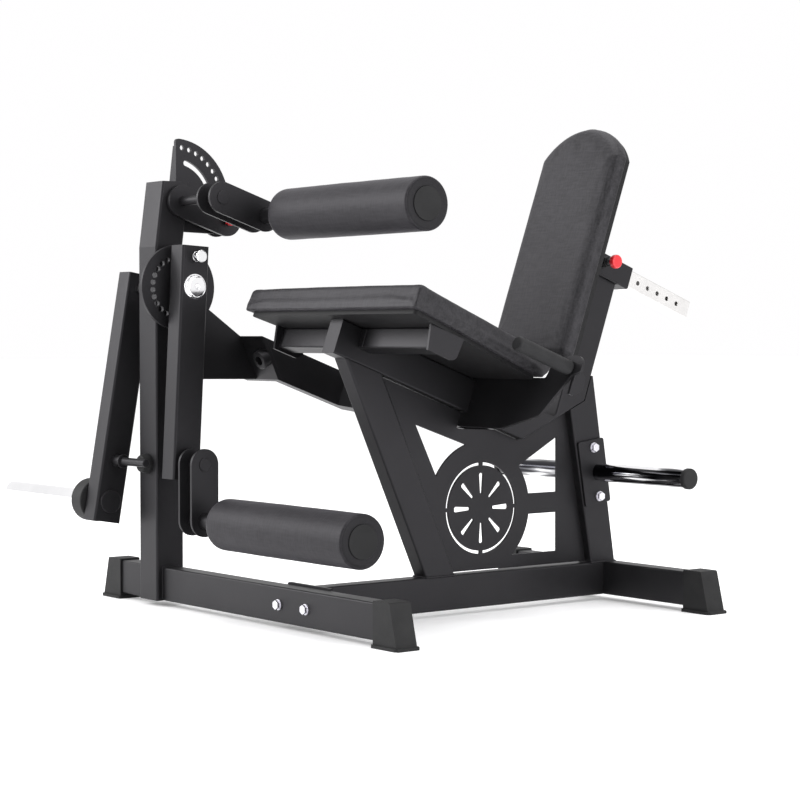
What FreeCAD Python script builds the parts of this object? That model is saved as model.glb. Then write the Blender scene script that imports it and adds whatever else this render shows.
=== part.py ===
"""Plate-loaded leg extension machine, as a parametric assembly of separate pieces.

Machine frame, in millimetres: X = 0 is the middle of the seat and +X is the sitter's left, Y = 0 is the front
face of the front cross beam and +Y points to the back rest, Z = 0 is the floor. The origin cells move that
frame so that the part's own origin is the bottom centre of its box. Pieces on the seat are drawn in the seat
frame: X as before, a down the slope towards the back rest, b square to the slope, upwards.
"""

import FreeCAD, Part
import math
import os
from types import SimpleNamespace

import Sketcher

Vector = FreeCAD.Vector
doc = FreeCAD.newDocument("leg_extension_machine")

SIZES = {
    # the part's origin in the machine frame, and clearances
    "origin_x": 342.5, "origin_y": -480.97, "running_gap": 0.05, "side_gap": 0.5,
    # rectangular beams of the base
    "beam_width": 40, "beam_height": 70, "beam_wall": 3, "beam_corner": 4, "floor_gap": 12, "beam_reach": 304,
    "stub_reach": 680, "rear_beam_y": 800, "flange_thickness": 6, "flange_half_width": 72, "flange_margin": 4,
    # bolts
    "bolt_radius": 5, "bolt_hole_radius": 5.5, "bolt_head_radius": 9.2, "bolt_head_height": 6.4,
    "washer_radius": 10.5, "washer_thickness": 2, "base_bolt_offset": 45,
    # feet
    "foot_inner": 45, "foot_outer": 31, "foot_lip": 7, "foot_wall": 4, "foot_flange": 6, "foot_flange_margin": 8,
    # main post and its pivots
    "post_x": 503.5, "post_width": 70, "post_depth": 66, "post_front": 14, "post_bend": 750, "post_top": 887,
    "post_lean": 18, "post_wall": 3, "post_corner": 5, "pivot_y": 20, "pivot_z": 665.5, "thigh_y": 46,
    "thigh_z": 845.5, "housing_radius": 31, "housing_bore": 27.5, "housing_far": 543, "housing_near": 447,
    "bearing_width": 13, "shaft_radius": 12.5,
    # arm from the post to the seat frame
    "arm_width": 50, "arm_low": 474, "arm_high": 665, "arm_wall": 4, "arm_top": -2, "arm_bottom": -75,
    "arm_side_x": 385, "arm_side_width": 26, "arm_mitre": 93, "arm_mitre_run": 70, "arm_plate_depth": 12,
    "arm_corner_a": 330, "arm_inner_a": 500, "boss_radius": 20, "boss_hole": 10.5, "boss_height": 18,
    "boss_x": 403, "boss_along": 52,
    # seat frame
    "seat_y": 108.4, "seat_z": 598, "seat_slope": 20, "rail_depth": 70, "rail_length": 356,
    "seat_post_y": 133, "seat_post_z": 479.4, "seat_post_lean": 0.4537, "seat_post_depth": 74.8,
    "cross_bar_a": 50, "cross_bar_width": 40, "cross_bar_depth": 41, "cross_bar_reach": 246,
    "end_plate": 6, "board_thickness": 8.5, "cushion_thickness": 46, "cushion_front": 34, "cushion_rear": 360,
    "cushion_front_half": 280, "cushion_rear_half": 216, "board_inset": 12, "cushion_overhang": 38,
    # L-shaped back post and rear upright
    "plate_a": 356, "plate_thickness": 6, "leg_bottom": 75, "leg_end": 518, "post_rear_a": 656,
    "post_front_a": 588, "chamfer_top": 57, "sleeve_base": 321.5,
    "upright_front": 764.4, "upright_rear": 834, "upright_wall": 3.3, "upright_share": 0.2346,
    "upright_tip": 56, "upright_tip_width": 6,
    # side panel
    "panel_x": -2.5, "panel_thickness": 5, "ring_y": 471.6, "ring_z": 212.5, "ring_radius": 90.6,
    "ring_slot": 6, "ring_slot_half_angle": 42.5, "disc_radius": 130.5, "window_radius": 137.5,
    "petal_inner": 30, "petal_outer": 72,
    "petal_width": 12, "panel_gap": 1, "panel_foot": 96, "panel_drop": 104, "window_peak_y": 430.1,
    "window_peak_z": 341.5, "window_left_y": 299.5, "window_left_z": 388.2, "window_tip_y": 352.8,
    "window_tip_z": 284, "window_right": 680, "window_top": 352.8, "window_shoulder": 295.2, "band_top": 236.5,
    "band_low": 193.6, "window_low": 111.5,
    "window_band_y": 600, "window_shoulder_y": 573.6, "window_low_y": 562.3,
    # handles
    "grip_x": 288, "grip_b": 27.5, "grip_radius": 14.5, "bar_radius": 11, "grip_front": 211, "grip_rear": 353,
    # back rest
    "sleeve_front": 562, "sleeve_rear": 687, "sleeve_width": 50, "sleeve_height": 49, "slide_width": 40,
    "slide_b": 346, "slide_front": 531, "slide_rear": 877.5, "slide_wall": 2.5, "slide_clearance": 0.5,
    "slide_hole": 5, "slide_pitch": 31.33, "slide_hole_a": 590.7, "pin_radius": 4, "cap_thickness": 4,
    "pad_front": 473, "pad_board_front": 508, "pad_rear": 523, "pad_half": 118, "pad_bottom": 97,
    "pad_shoulder": 540, "pad_rise": 70, "pad_board_inset": 7,
    # plate pegs
    "peg_y": 781, "peg_z": 274.5, "peg_radius": 19, "peg_bore": 15, "peg_end": 283, "peg_cap_radius": 21.5,
    "peg_cap_end": 295, "peg_plate": 6,
    # swing: index disc, weight arm and stop
    "disc_outer": 87.7, "disc_far": 443, "disc_near": 435, "disc_hole_circle": 62, "disc_hole": 6,
    "disc_hole_start": 87.15, "disc_hole_step": 14, "hub_radius": 20, "hub_near": 421, "arm_far": 632,
    "arm_tube_width": 47, "arm_tube_depth": 64.4, "swing_tilt": 9.76, "swing_above": 30.5, "swing_below": 501,
    "sleeve_drop": 457, "weight_sleeve_radius": 19, "weight_sleeve_end": 1020, "weight_sleeve_bore": 14,
    "collar_radius": 45.5, "collar_thickness": 40, "collar_bore": 18.5, "plug_radius": 24,
    "stop_radius": 8.5, "stop_drop": 370, "stop_near": 462,
    "bumper_radius": 21, "bumper_y": 33.2, "bumper_z": 298,
    # lever
    "lever_far": 420, "lever_tilt": 3, "lever_above": 84, "lever_below": 396, "lever_pin_up": 62,
    "link_drop": 362, "lever_cap_radius": 23, "cap_socket": 5, "tube_wall": 3, "tube_corner": 5, "vent_radius": 3,
    "lever_pin_radius": 5, "link_bolt_radius": 10,
    # roller brackets and rollers
    "link_near_x": 306, "link_far_x": 351, "link_plate": 6, "link_radius": 32, "ankle_reach": 115,
    "thigh_reach": 111, "thigh_angle": 18, "axle_radius": 12.5, "axle_collar": 16,
    "roller_far": 237, "roller_near": 224,
    "roller_radius": 52.4, "roller_round": 19.5, "roller_near_round": 4,
    "core_radius": 24.7, "core_flange_radius": 32.5,
    "core_flange": 3,
    # thigh arm and quadrant
    "quadrant_radius": 133, "quadrant_near": 486, "quadrant_plate": 8, "quadrant_holes": 115.5,
    "quadrant_hole": 5.5, "quadrant_start": 82, "quadrant_step": 9.1, "quadrant_foot": 62,
    "slot_radius": 86, "slot_half_width": 6, "slot_low": 26, "slot_high": 73,
    "rib_bottom": 19, "rib_top": 4, "rib_thickness": 6, "thigh_plate_near": 456, "thigh_plate": 10,
    "thigh_plate_radius": 34, "thigh_plate_reach": 115, "fork_near": 498, "fork_plate": 6, "fork_gap": 3.5,
    "thigh_shaft_radius": 10, "thigh_knob_radius": 12,
}


class Size:
    """A size that carries its present value and the sheet expression that gives it."""

    def __init__(self, value, text):
        self.value = value
        self.text = text

    def joined(self, sign, other, value):
        return Size(value, f"({self.text} {sign} {other.text})")

    def __add__(self, other):
        return self.joined("+", size(other), self.value + size(other).value)

    def __radd__(self, other):
        return size(other) + self

    def __sub__(self, other):
        return self.joined("-", size(other), self.value - size(other).value)

    def __rsub__(self, other):
        return size(other) - self

    def __mul__(self, other):
        return self.joined("*", size(other), self.value * size(other).value)

    def __rmul__(self, other):
        return size(other) * self

    def __truediv__(self, other):
        return self.joined("/", size(other), self.value / size(other).value)

    def __neg__(self):
        return self * -1


def size(amount):
    """Any number as a Size."""
    if isinstance(amount, Size):
        return amount
    return Size(float(amount), f"({amount:.8g})")


def cosine(angle):
    return Size(math.cos(math.radians(size(angle).value)), f"cos({size(angle).text})")


def sine(angle):
    return Size(math.sin(math.radians(size(angle).value)), f"sin({size(angle).text})")


def fill_sheet():
    """Write every driving dimension to the sheet and return them as Sizes."""
    sheet = doc.addObject("Spreadsheet::Sheet", "sizes")
    for row, (alias, number) in enumerate(SIZES.items(), 1):
        sheet.set(f"A{row}", alias)
        sheet.set(f"B{row}", str(number))
        sheet.setAlias(f"B{row}", alias)
    doc.recompute()
    return SimpleNamespace(**{name: Size(number, f"sizes.{name}") for name, number in SIZES.items()})


S = fill_sheet()
ALONG_X = (Vector(0, 1, 0), 90)
DOWN_SLOPE = (Vector(-1, 0, 0), S.seat_slope)
pieces = []


# ---- helpers: binding and placing -------------------------------------------------------------------------


def bind(target, path, amount):
    target.setExpression(path, size(amount).text)


def turn(thing, axis, angle):
    """Turn a thing about one axis; the angle is bound to the sheet."""
    thing.Placement = FreeCAD.Placement(Vector(), FreeCAD.Rotation(axis, 1))
    bind(thing, "Placement.Rotation.Angle", angle)


def move(thing, x=0, y=0, z=0):
    """Place a thing inside the group it is part of."""
    bind(thing, "Placement.Base.x", x)
    bind(thing, "Placement.Base.y", y)
    bind(thing, "Placement.Base.z", z)
    return thing


def place(thing, x=0, y=0, z=0, turned_by=None):
    """Place a thing at a point of the machine frame."""
    if turned_by:
        turn(thing, *turned_by)
    return move(thing, S.origin_x + x, S.origin_y + y, z)


def seat_point(a, b):
    """Machine Y and Z of a point of the seat frame."""
    y = S.seat_y + a * cosine(S.seat_slope) + b * sine(S.seat_slope)
    z = S.seat_z - a * sine(S.seat_slope) + b * cosine(S.seat_slope)
    return y, z


def place_on_seat(thing, x=0, a=0, b=0):
    """Place a thing at a point of the seat frame, turned with the slope."""
    y, z = seat_point(size(a), size(b))
    return place(thing, x, y, z, DOWN_SLOPE)


def keep(name, thing):
    """Make a thing one of the machine's sub-parts."""
    thing.Label = name
    pieces.append(thing)
    return thing


def group(name, things):
    """Several separate solids as one sub-part."""
    made = doc.addObject("Part::Compound", name)
    made.Links = things
    return keep(name, made)


# ---- helpers: sketches ------------------------------------------------------------------------------------


def new_body(name):
    return doc.addObject("PartDesign::Body", name + "_body")


def origin_feature(body, role):
    return next(f for f in body.Origin.OriginFeatures if f.Role == role)


def new_sketch(body, plane, lift=None):
    """A sketch on one of the body's own planes, lifted off it if asked."""
    sketch = body.newObject("Sketcher::SketchObject", "Sketch")
    sketch.AttachmentSupport = [(origin_feature(body, plane + "_Plane"), "")]
    sketch.MapMode = "FlatFace"
    if lift is not None:
        bind(sketch, "AttachmentOffset.Base.z", lift)
    return sketch


def constrain(sketch, amount, kind, *places):
    """Add one dimension to a sketch and bind it to the sheet."""
    index = sketch.addConstraint(Sketcher.Constraint(kind, *places, size(amount).value))
    bind(sketch, f"Constraints[{index}]", amount)


def fix_point(sketch, geometry, end, x, y):
    constrain(sketch, x, "DistanceX", -1, 1, geometry, end)
    constrain(sketch, y, "DistanceY", -1, 1, geometry, end)


def circle(sketch, x, y, radius):
    centre = Vector(size(x).value, size(y).value, 0)
    index = sketch.addGeometry(Part.Circle(centre, Vector(0, 0, 1), size(radius).value))
    fix_point(sketch, index, 3, x, y)
    constrain(sketch, radius, "Radius", index)


def add_arc(sketch, centre, start, end):
    """An arc, anticlockwise from start to end; returns its index."""
    first = math.atan2(start.y - centre.y, start.x - centre.x)
    last = math.atan2(end.y - centre.y, end.x - centre.x)
    whole = Part.Circle(centre, Vector(0, 0, 1), (start - centre).Length)
    return sketch.addGeometry(Part.ArcOfCircle(whole, first, last))


def round_corner(sketch, before, after, corner, point, back, ahead, radius):
    """Join two lines by a tangent arc; the sharp corner stays as a construction point."""
    half = back.getAngle(ahead) / 2
    reach = size(radius).value / math.tan(half)
    middle = (back + ahead).normalize()
    centre = point + middle * (size(radius).value / math.sin(half))
    start = point + back * reach
    end = point + ahead * reach
    clockwise = back.cross(ahead).z > 0
    arc = add_arc(sketch, centre, end, start) if clockwise else add_arc(sketch, centre, start, end)
    first, last = (2, 1) if clockwise else (1, 2)
    sketch.addConstraint(Sketcher.Constraint("Tangent", before, 2, arc, first))
    sketch.addConstraint(Sketcher.Constraint("Tangent", arc, last, after, 1))
    constrain(sketch, radius, "Radius", arc)
    sharp = sketch.addGeometry(Part.Point(point), True)
    sketch.addConstraint(Sketcher.Constraint("PointOnObject", sharp, 1, before))
    sketch.addConstraint(Sketcher.Constraint("PointOnObject", sharp, 1, after))
    fix_point(sketch, sharp, 1, corner[0], corner[1])


def outline(sketch, corners):
    """A closed outline of straight sides; a corner with a third value is rounded by that radius."""
    count = len(corners)
    points = [Vector(size(c[0]).value, size(c[1]).value, 0) for c in corners]
    backs = [(points[i - 1] - points[i]).normalize() for i in range(count)]
    aheads = [(points[(i + 1) % count] - points[i]).normalize() for i in range(count)]
    trims = []
    for i, corner in enumerate(corners):
        radius = size(corner[2]).value if len(corner) > 2 else 0
        trims.append(radius / math.tan(backs[i].getAngle(aheads[i]) / 2))
    lines = []
    for i in range(count):
        following = (i + 1) % count
        start = points[i] + aheads[i] * trims[i]
        end = points[following] + backs[following] * trims[following]
        lines.append(sketch.addGeometry(Part.LineSegment(start, end)))
    for i, corner in enumerate(corners):
        if len(corner) > 2:
            round_corner(sketch, lines[i - 1], lines[i], corner, points[i], backs[i], aheads[i], corner[2])
        else:
            sketch.addConstraint(Sketcher.Constraint("Coincident", lines[i - 1], 2, lines[i], 1))
            fix_point(sketch, lines[i], 1, corner[0], corner[1])


def rectangle(sketch, half_width, half_height, corner=None):
    """A rectangle about the sketch's origin."""
    ends = [(-half_width, -half_height), (half_width, -half_height), (half_width, half_height),
            (-half_width, half_height)]
    outline(sketch, [(x, y) if corner is None else (x, y, corner) for x, y in ends])


def arc_sided(sketch, corners, centre, radius, held, bulges_out):
    """Straight sides through the corners, closed by an arc about a centre.

    The first and last corners are the arc's ends. Each is given by the coordinate that is held, "x" or "y",
    and lies on the circle on the side of its other, rough coordinate.
    """
    middle = Vector(size(centre[0]).value, size(centre[1]).value, 0)
    reach = size(radius).value
    points = [Vector(size(x).value, size(y).value, 0) for x, y in corners]
    for end in (0, -1):
        if held == "x":
            other = math.sqrt(reach ** 2 - (points[end].x - middle.x) ** 2)
            points[end].y = middle.y + math.copysign(other, points[end].y - middle.y)
        else:
            other = math.sqrt(reach ** 2 - (points[end].y - middle.y) ** 2)
            points[end].x = middle.x + math.copysign(other, points[end].x - middle.x)
    lines = [sketch.addGeometry(Part.LineSegment(p, q)) for p, q in zip(points, points[1:])]
    start, end = (points[-1], points[0]) if bulges_out else (points[0], points[-1])
    arc = add_arc(sketch, middle, start, end)
    fix_point(sketch, arc, 3, centre[0], centre[1])
    constrain(sketch, radius, "Radius", arc)
    first, last = (1, 2) if bulges_out else (2, 1)
    sketch.addConstraint(Sketcher.Constraint("Coincident", lines[-1], 2, arc, first))
    sketch.addConstraint(Sketcher.Constraint("Coincident", arc, last, lines[0], 1))
    kind, index = ("DistanceX", 0) if held == "x" else ("DistanceY", 1)
    constrain(sketch, corners[0][index], kind, -1, 1, lines[0], 1)
    constrain(sketch, corners[-1][index], kind, -1, 1, lines[-1], 2)
    for i, line in enumerate(lines[1:], 1):
        sketch.addConstraint(Sketcher.Constraint("Coincident", lines[i - 1], 2, line, 1))
        fix_point(sketch, line, 1, *corners[i])


def stadium(sketch, reach, radius):
    """A plate outline with two round ends, from the origin out to a reach along the sketch's X."""
    far = size(reach).value
    width = size(radius).value
    top = sketch.addGeometry(Part.LineSegment(Vector(0, width, 0), Vector(far, width, 0)))
    bottom = sketch.addGeometry(Part.LineSegment(Vector(far, -width, 0), Vector(0, -width, 0)))
    outer = add_arc(sketch, Vector(far, 0, 0), Vector(far, -width, 0), Vector(far, width, 0))
    inner = add_arc(sketch, Vector(), Vector(0, width, 0), Vector(0, -width, 0))
    for one, one_end, other, other_end in ((top, 2, outer, 2), (outer, 1, bottom, 1), (bottom, 2, inner, 2),
                                           (inner, 1, top, 1)):
        sketch.addConstraint(Sketcher.Constraint("Tangent", one, one_end, other, other_end))
    sketch.addConstraint(Sketcher.Constraint("Equal", inner, outer))
    fix_point(sketch, inner, 3, 0, 0)
    fix_point(sketch, outer, 3, reach, 0)
    constrain(sketch, radius, "Radius", inner)


def ring_slot(sketch, inner, outer, half_angle):
    """A curved slot about the sketch's origin, its middle on the X axis."""
    arcs = []
    for radius in (inner, outer):
        reach = size(radius).value
        angle = math.radians(size(half_angle).value)
        start = Vector(reach * math.cos(angle), -reach * math.sin(angle), 0)
        end = Vector(start.x, -start.y, 0)
        arc = add_arc(sketch, Vector(), start, end)
        fix_point(sketch, arc, 3, 0, 0)
        fix_point(sketch, arc, 1, radius * cosine(half_angle), -radius * sine(half_angle))
        constrain(sketch, radius * sine(half_angle), "DistanceY", -1, 1, arc, 2)
        arcs.append((arc, start, end))
    for end in (1, 2):
        line = sketch.addGeometry(Part.LineSegment(arcs[0][end], arcs[1][end]))
        sketch.addConstraint(Sketcher.Constraint("Coincident", line, 1, arcs[0][0], end))
        sketch.addConstraint(Sketcher.Constraint("Coincident", line, 2, arcs[1][0], end))


# ---- helpers: features ------------------------------------------------------------------------------------


def pad(body, sketch, length, symmetric=False, backwards=False):
    made = body.newObject("PartDesign::Pad", "Pad")
    made.Profile = sketch
    made.SideType = "Symmetric" if symmetric else "One side"
    made.Reversed = backwards
    bind(made, "Length", length)
    return made


def pocket(body, sketch, length, symmetric=True, backwards=False):
    made = body.newObject("PartDesign::Pocket", "Pocket")
    made.Profile = sketch
    made.Type = "Length"
    made.SideType = "Symmetric" if symmetric else "One side"
    made.Reversed = backwards
    bind(made, "Length", length)
    return made


def fillet(body, base, wanted, radius):
    """Round the edges of a feature that pass a test."""
    doc.recompute()
    names = [f"Edge{i}" for i, edge in enumerate(base.Shape.Edges, 1) if wanted(edge)]
    made = body.newObject("PartDesign::Fillet", "Fillet")
    made.Base = (base, names)
    bind(made, "Radius", radius)
    return made


def is_long_side(minimum):
    """Test for straight edges longer than a minimum that don't run across, along X."""
    def wanted(edge):
        across = edge.Vertexes[0].Point - edge.Vertexes[-1].Point
        return edge.Length > minimum and abs(across.x) < 0.001
    return wanted


def tube(name, plane, width, height, length, wall, corner):
    """A rectangular tube, centred on its body's origin and running square to the plane."""
    body = new_body(name)
    sketch = new_sketch(body, plane)
    rectangle(sketch, width / 2, height / 2, corner)
    rectangle(sketch, width / 2 - wall, height / 2 - wall)
    pad(body, sketch, length, backwards=plane == "XZ")
    return body


def profile(name, corners, width, plane="YZ"):
    """A side outline made to a width, evenly about the plane; returns the body and its pad."""
    body = new_body(name)
    sketch = new_sketch(body, plane)
    outline(sketch, corners)
    return body, pad(body, sketch, width, symmetric=True)


def hollow(body, corners, width, plane="YZ"):
    """Cut the inside out of a profile."""
    sketch = new_sketch(body, plane)
    outline(sketch, corners)
    return pocket(body, sketch, width)


def bore(body, holes, depth, plane="YZ"):
    """Cut round holes, each (x, y, radius), through a body."""
    sketch = new_sketch(body, plane)
    for x, y, radius in holes:
        circle(sketch, x, y, radius)
    return pocket(body, sketch, depth)


def plate(name, plane, draw, thickness):
    """A flat plate whose outline is drawn by a function; it is made along +X, +Y or +Z."""
    body = new_body(name)
    sketch = new_sketch(body, plane)
    draw(sketch)
    pad(body, sketch, thickness, backwards=plane == "XZ")
    return body


def turned(name, corners):
    """A round piece about its own X axis, from an outline of (x, radius) corners."""
    body = new_body(name)
    sketch = new_sketch(body, "XY")
    outline(sketch, corners)
    made = body.newObject("PartDesign::Revolution", "Revolution")
    made.Profile = sketch
    made.ReferenceAxis = (origin_feature(body, "X_Axis"), [""])
    made.Angle = 360
    return body


def cylinder(name, radius, length, x=0, y=0, z=0):
    """A plain cylinder from a point along +X."""
    made = doc.addObject("Part::Cylinder", name)
    bind(made, "Radius", radius)
    bind(made, "Height", length)
    turn(made, *ALONG_X)
    return move(made, x, y, z)


def fuse(name, things):
    made = doc.addObject("Part::MultiFuse", name)
    made.Shapes = things
    return made


def cut(name, base, tool):
    made = doc.addObject("Part::Cut", name)
    made.Base = base
    made.Tool = tool
    return made


def bolt(name, grip):
    """A hexagon bolt along +X: head and washer before the grip, washer and nut after it."""
    ends = []
    for end, start in (("head", -S.washer_thickness - S.bolt_head_height), ("nut", grip + S.washer_thickness)):
        hexagon = doc.addObject("Part::Prism", f"{name}_{end}")
        hexagon.Polygon = 6
        bind(hexagon, "Circumradius", S.bolt_head_radius)
        bind(hexagon, "Height", S.bolt_head_height)
        turn(hexagon, *ALONG_X)
        ends.append(move(hexagon, start))
    near = cylinder(f"{name}_washer", S.washer_radius, S.washer_thickness, -S.washer_thickness)
    far = cylinder(f"{name}_far_washer", S.washer_radius, S.washer_thickness, grip)
    shank_length = grip + 2 * S.washer_thickness + 2 * S.bolt_head_height + 2
    shank = cylinder(f"{name}_shank", S.bolt_radius, shank_length, -S.washer_thickness - S.bolt_head_height)
    return fuse(name, [*ends, near, far, shank])


# ---- base -------------------------------------------------------------------------------------------------

beam_middle = S.floor_gap + S.beam_height / 2
beam_top = S.floor_gap + S.beam_height
post_near = S.post_x - S.post_width / 2
post_far = S.post_x + S.post_width / 2


def beam(name, plane, length):
    wide, high = (S.beam_width, S.beam_height)
    return tube(name, plane, wide, high, length, S.beam_wall, S.beam_corner)


def make_cross_beams():
    """The front beam is cut where the main post stands in it; the rear beam is one length."""
    front = beam("front_cross_beam_main", "YZ", S.beam_reach + post_near)
    holes = [(post_near + side * S.base_bolt_offset, 0, S.bolt_hole_radius) for side in (-1, 1)]
    bore(front, holes, S.beam_width * 2, "XZ")
    place(front, -post_near, S.beam_width / 2, beam_middle)
    stub = beam("front_cross_beam_stub", "YZ", S.stub_reach - post_far)
    place(stub, -S.stub_reach, S.beam_width / 2, beam_middle)
    group("front_cross_beam", [front, stub])
    rear = beam("rear_cross_beam", "YZ", 2 * S.beam_reach)
    keep("rear_cross_beam", place(rear, -S.beam_reach, S.rear_beam_y + S.beam_width / 2, beam_middle))


def make_base_beam():
    start = S.beam_width + S.flange_thickness
    body = beam("base_beam", "XZ", S.rear_beam_y - start)
    keep("base_beam", place(body, 0, start, beam_middle))

    def draw(sketch):
        rectangle(sketch, S.flange_half_width, S.beam_height / 2 + S.flange_margin, S.flange_thickness)
        for side in (-1, 1):
            circle(sketch, side * S.base_bolt_offset, 0, S.bolt_hole_radius)

    flange = plate("base_flange", "XZ", draw, S.flange_thickness)
    keep("base_flange", place(flange, 0, S.beam_width, beam_middle))


def make_base_bolts():
    bolts = []
    for side in (-1, 1):
        made = bolt(f"base_bolt_{side + 1}", S.beam_width + S.flange_thickness)
        bolts.append(place(made, side * S.base_bolt_offset, 0, beam_middle, (Vector(0, 0, 1), 90)))
    group("base_bolts", bolts)


def foot(name):
    """A moulded boot on the end of a cross beam; X points outwards from the beam's end face."""
    top = beam_top + S.foot_wall
    corners = [(-S.foot_inner, 0), (S.foot_outer, 0), (S.foot_outer, S.foot_flange),
               (S.foot_outer - S.foot_lip, S.foot_flange, 3), (S.foot_wall, top, 4), (-S.foot_inner, top, 3)]
    body, block = profile(name, corners, S.beam_width + 2 * S.foot_wall, "XZ")
    tread = new_sketch(body, "XY")
    half = S.beam_width / 2 + S.foot_flange_margin
    outline(tread, [(-S.foot_inner - 4, -half, 6), (S.foot_outer, -half, 10), (S.foot_outer, half, 10),
                    (-S.foot_inner - 4, half, 6)])
    pad(body, tread, S.foot_flange)
    socket = new_sketch(body, "YZ")
    half_beam = S.beam_width / 2
    outline(socket, [(-half_beam, S.floor_gap), (half_beam, S.floor_gap), (half_beam, beam_top),
                     (-half_beam, beam_top)])
    pocket(body, socket, 2 * S.foot_inner + 20, symmetric=False)
    return body


def make_feet():
    ends = {"front_feet": (S.beam_width / 2, S.stub_reach), "rear_feet": (S.rear_beam_y + S.beam_width / 2,
                                                                          S.beam_reach)}
    for name, (y, right_reach) in ends.items():
        left = place(foot(name + "_left"), S.beam_reach, y, 0)
        right = place(foot(name + "_right"), -right_reach, y, 0, (Vector(0, 0, 1), 180))
        group(name, [left, right])


# ---- main post and connecting arm -------------------------------------------------------------------------


def make_main_post():
    """A tall tube, upright to the bend and leaning back above it, with holes for both shafts."""
    front = -S.post_front
    rear = S.post_depth - S.post_front
    body, block = profile("main_post", [(front, S.floor_gap), (rear, S.floor_gap), (rear, S.post_bend),
                                        (rear + S.post_lean, S.post_top), (front + S.post_lean, S.post_top),
                                        (front, S.post_bend)], S.post_width)
    fillet(body, block, is_long_side(100), S.post_corner)
    wall = S.post_wall
    hollow(body, [(front + wall, 0), (rear - wall, 0), (rear - wall, S.post_bend),
                  (rear + S.post_lean - wall, S.post_top - wall),
                  (front + S.post_lean + wall, S.post_top - wall), (front + wall, S.post_bend)],
           S.post_width - 2 * wall)
    bore(body, [(S.pivot_y, S.pivot_z, S.housing_radius),
                (S.thigh_y, S.thigh_z, S.thigh_shaft_radius + S.running_gap)], 2 * S.post_width)
    keep("main_post", place(body, -S.post_x))


def ring(name, outer, inner, start, end):
    """A round tube about X between two distances to the right of the middle."""
    return turned(name, [(-start, inner), (-end, inner), (-end, outer), (-start, outer)])


def make_bearings():
    housing = ring("bearing_housing", S.housing_radius, S.housing_bore, S.housing_far, S.housing_near)
    keep("bearing_housing", place(housing, 0, S.pivot_y, S.pivot_z))
    rings = []
    for start in (S.housing_far, S.housing_near + S.bearing_width):
        made = ring("main_bearing", S.housing_bore, S.shaft_radius + S.running_gap, start,
                    start - S.bearing_width)
        rings.append(place(made, 0, S.pivot_y, S.pivot_z))
    group("main_bearings", rings)


def mitre_corners(shift, top, bottom):
    """The slanted face of the arm in the seat frame: its upper and lower ends, moved back by a shift."""
    slope = S.arm_mitre_run / (S.arm_top - S.arm_bottom)
    return [(S.arm_mitre + shift + slope * (S.arm_top - top), top),
            (S.arm_mitre + shift + slope * (S.arm_top - bottom), bottom)]


def make_arm_box():
    """The welded box on the back of the post; its rear end is cut to the slanted face of the arm."""
    rear = S.post_depth - S.post_front
    (top_a, top_b), (low_a, low_b) = mitre_corners(size(0), S.arm_top, S.arm_bottom)
    top_y, top_z = seat_point(top_a, top_b)
    low_y, low_z = seat_point(low_a, low_b)
    knee_y, knee_z = rear + 64, top_z + 56
    body, block = profile("arm_box", [(rear, S.arm_low), (low_y, low_z), (top_y, top_z), (knee_y, knee_z),
                                      (rear, S.arm_high)], S.arm_width)
    wall = S.arm_wall
    hollow(body, [(rear - wall, S.arm_low + wall), (low_y - 2 * wall, low_z + wall),
                  (top_y - 2 * wall, top_z - wall), (knee_y - wall, knee_z - 2 * wall),
                  (rear - wall, S.arm_high - wall)], S.arm_width - 2 * wall)
    keep("arm_box", place(body, -post_near - S.arm_width / 2))


def make_arm_end_plate():
    """The slanted plate that closes the arm, with an open round boss on its front face."""
    far = post_near + S.arm_width
    body = new_body("arm_end_plate")
    sketch = new_sketch(body, "YZ")
    outline(sketch, mitre_corners(size(0), S.arm_top, S.arm_bottom)
            + mitre_corners(S.arm_plate_depth, S.arm_top, S.arm_bottom)[::-1])
    pad(body, sketch, far - S.arm_side_x)
    plate_part = place_on_seat(body, -far)
    boss = turned("arm_boss", [(0, S.boss_hole), (0, S.boss_radius), (-S.boss_height, S.boss_radius, 2),
                               (-S.boss_height, S.boss_hole)])
    (top_a, top_b), (low_a, low_b) = mitre_corners(size(0), S.arm_top, S.arm_bottom)
    top = seat_point(top_a, top_b)
    low = seat_point(low_a, low_b)
    rise = Vector(0, top[0].value - low[0].value, top[1].value - low[1].value)
    share = S.boss_along / rise.Length
    facing = FreeCAD.Rotation(Vector(1, 0, 0), Vector(0, rise.z, -rise.y))
    boss.Placement = FreeCAD.Placement(Vector(), facing)
    move(boss, S.origin_x - S.boss_x, S.origin_y + low[0] + (top[0] - low[0]) * share,
         low[1] + (top[1] - low[1]) * share)
    group("arm_end_plate", [plate_part, boss])


def make_arm_side_tube():
    front = mitre_corners(S.arm_plate_depth, S.arm_top, S.arm_bottom)
    body, block = profile("arm_side_tube", [*front, (S.arm_corner_a, S.arm_bottom),
                                            (S.arm_corner_a, S.arm_top)], S.arm_side_width)
    top = S.arm_top - S.arm_wall
    bottom = S.arm_bottom + S.arm_wall
    inner = mitre_corners(S.arm_plate_depth + 2 * S.arm_wall, top, bottom)
    hollow(body, [*inner, (S.arm_corner_a + 5, bottom), (S.arm_corner_a + 5, top)],
           S.arm_side_width - 2 * S.arm_wall)
    keep("arm_side_tube", place_on_seat(body, -S.arm_side_x - S.arm_side_width / 2))


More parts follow.
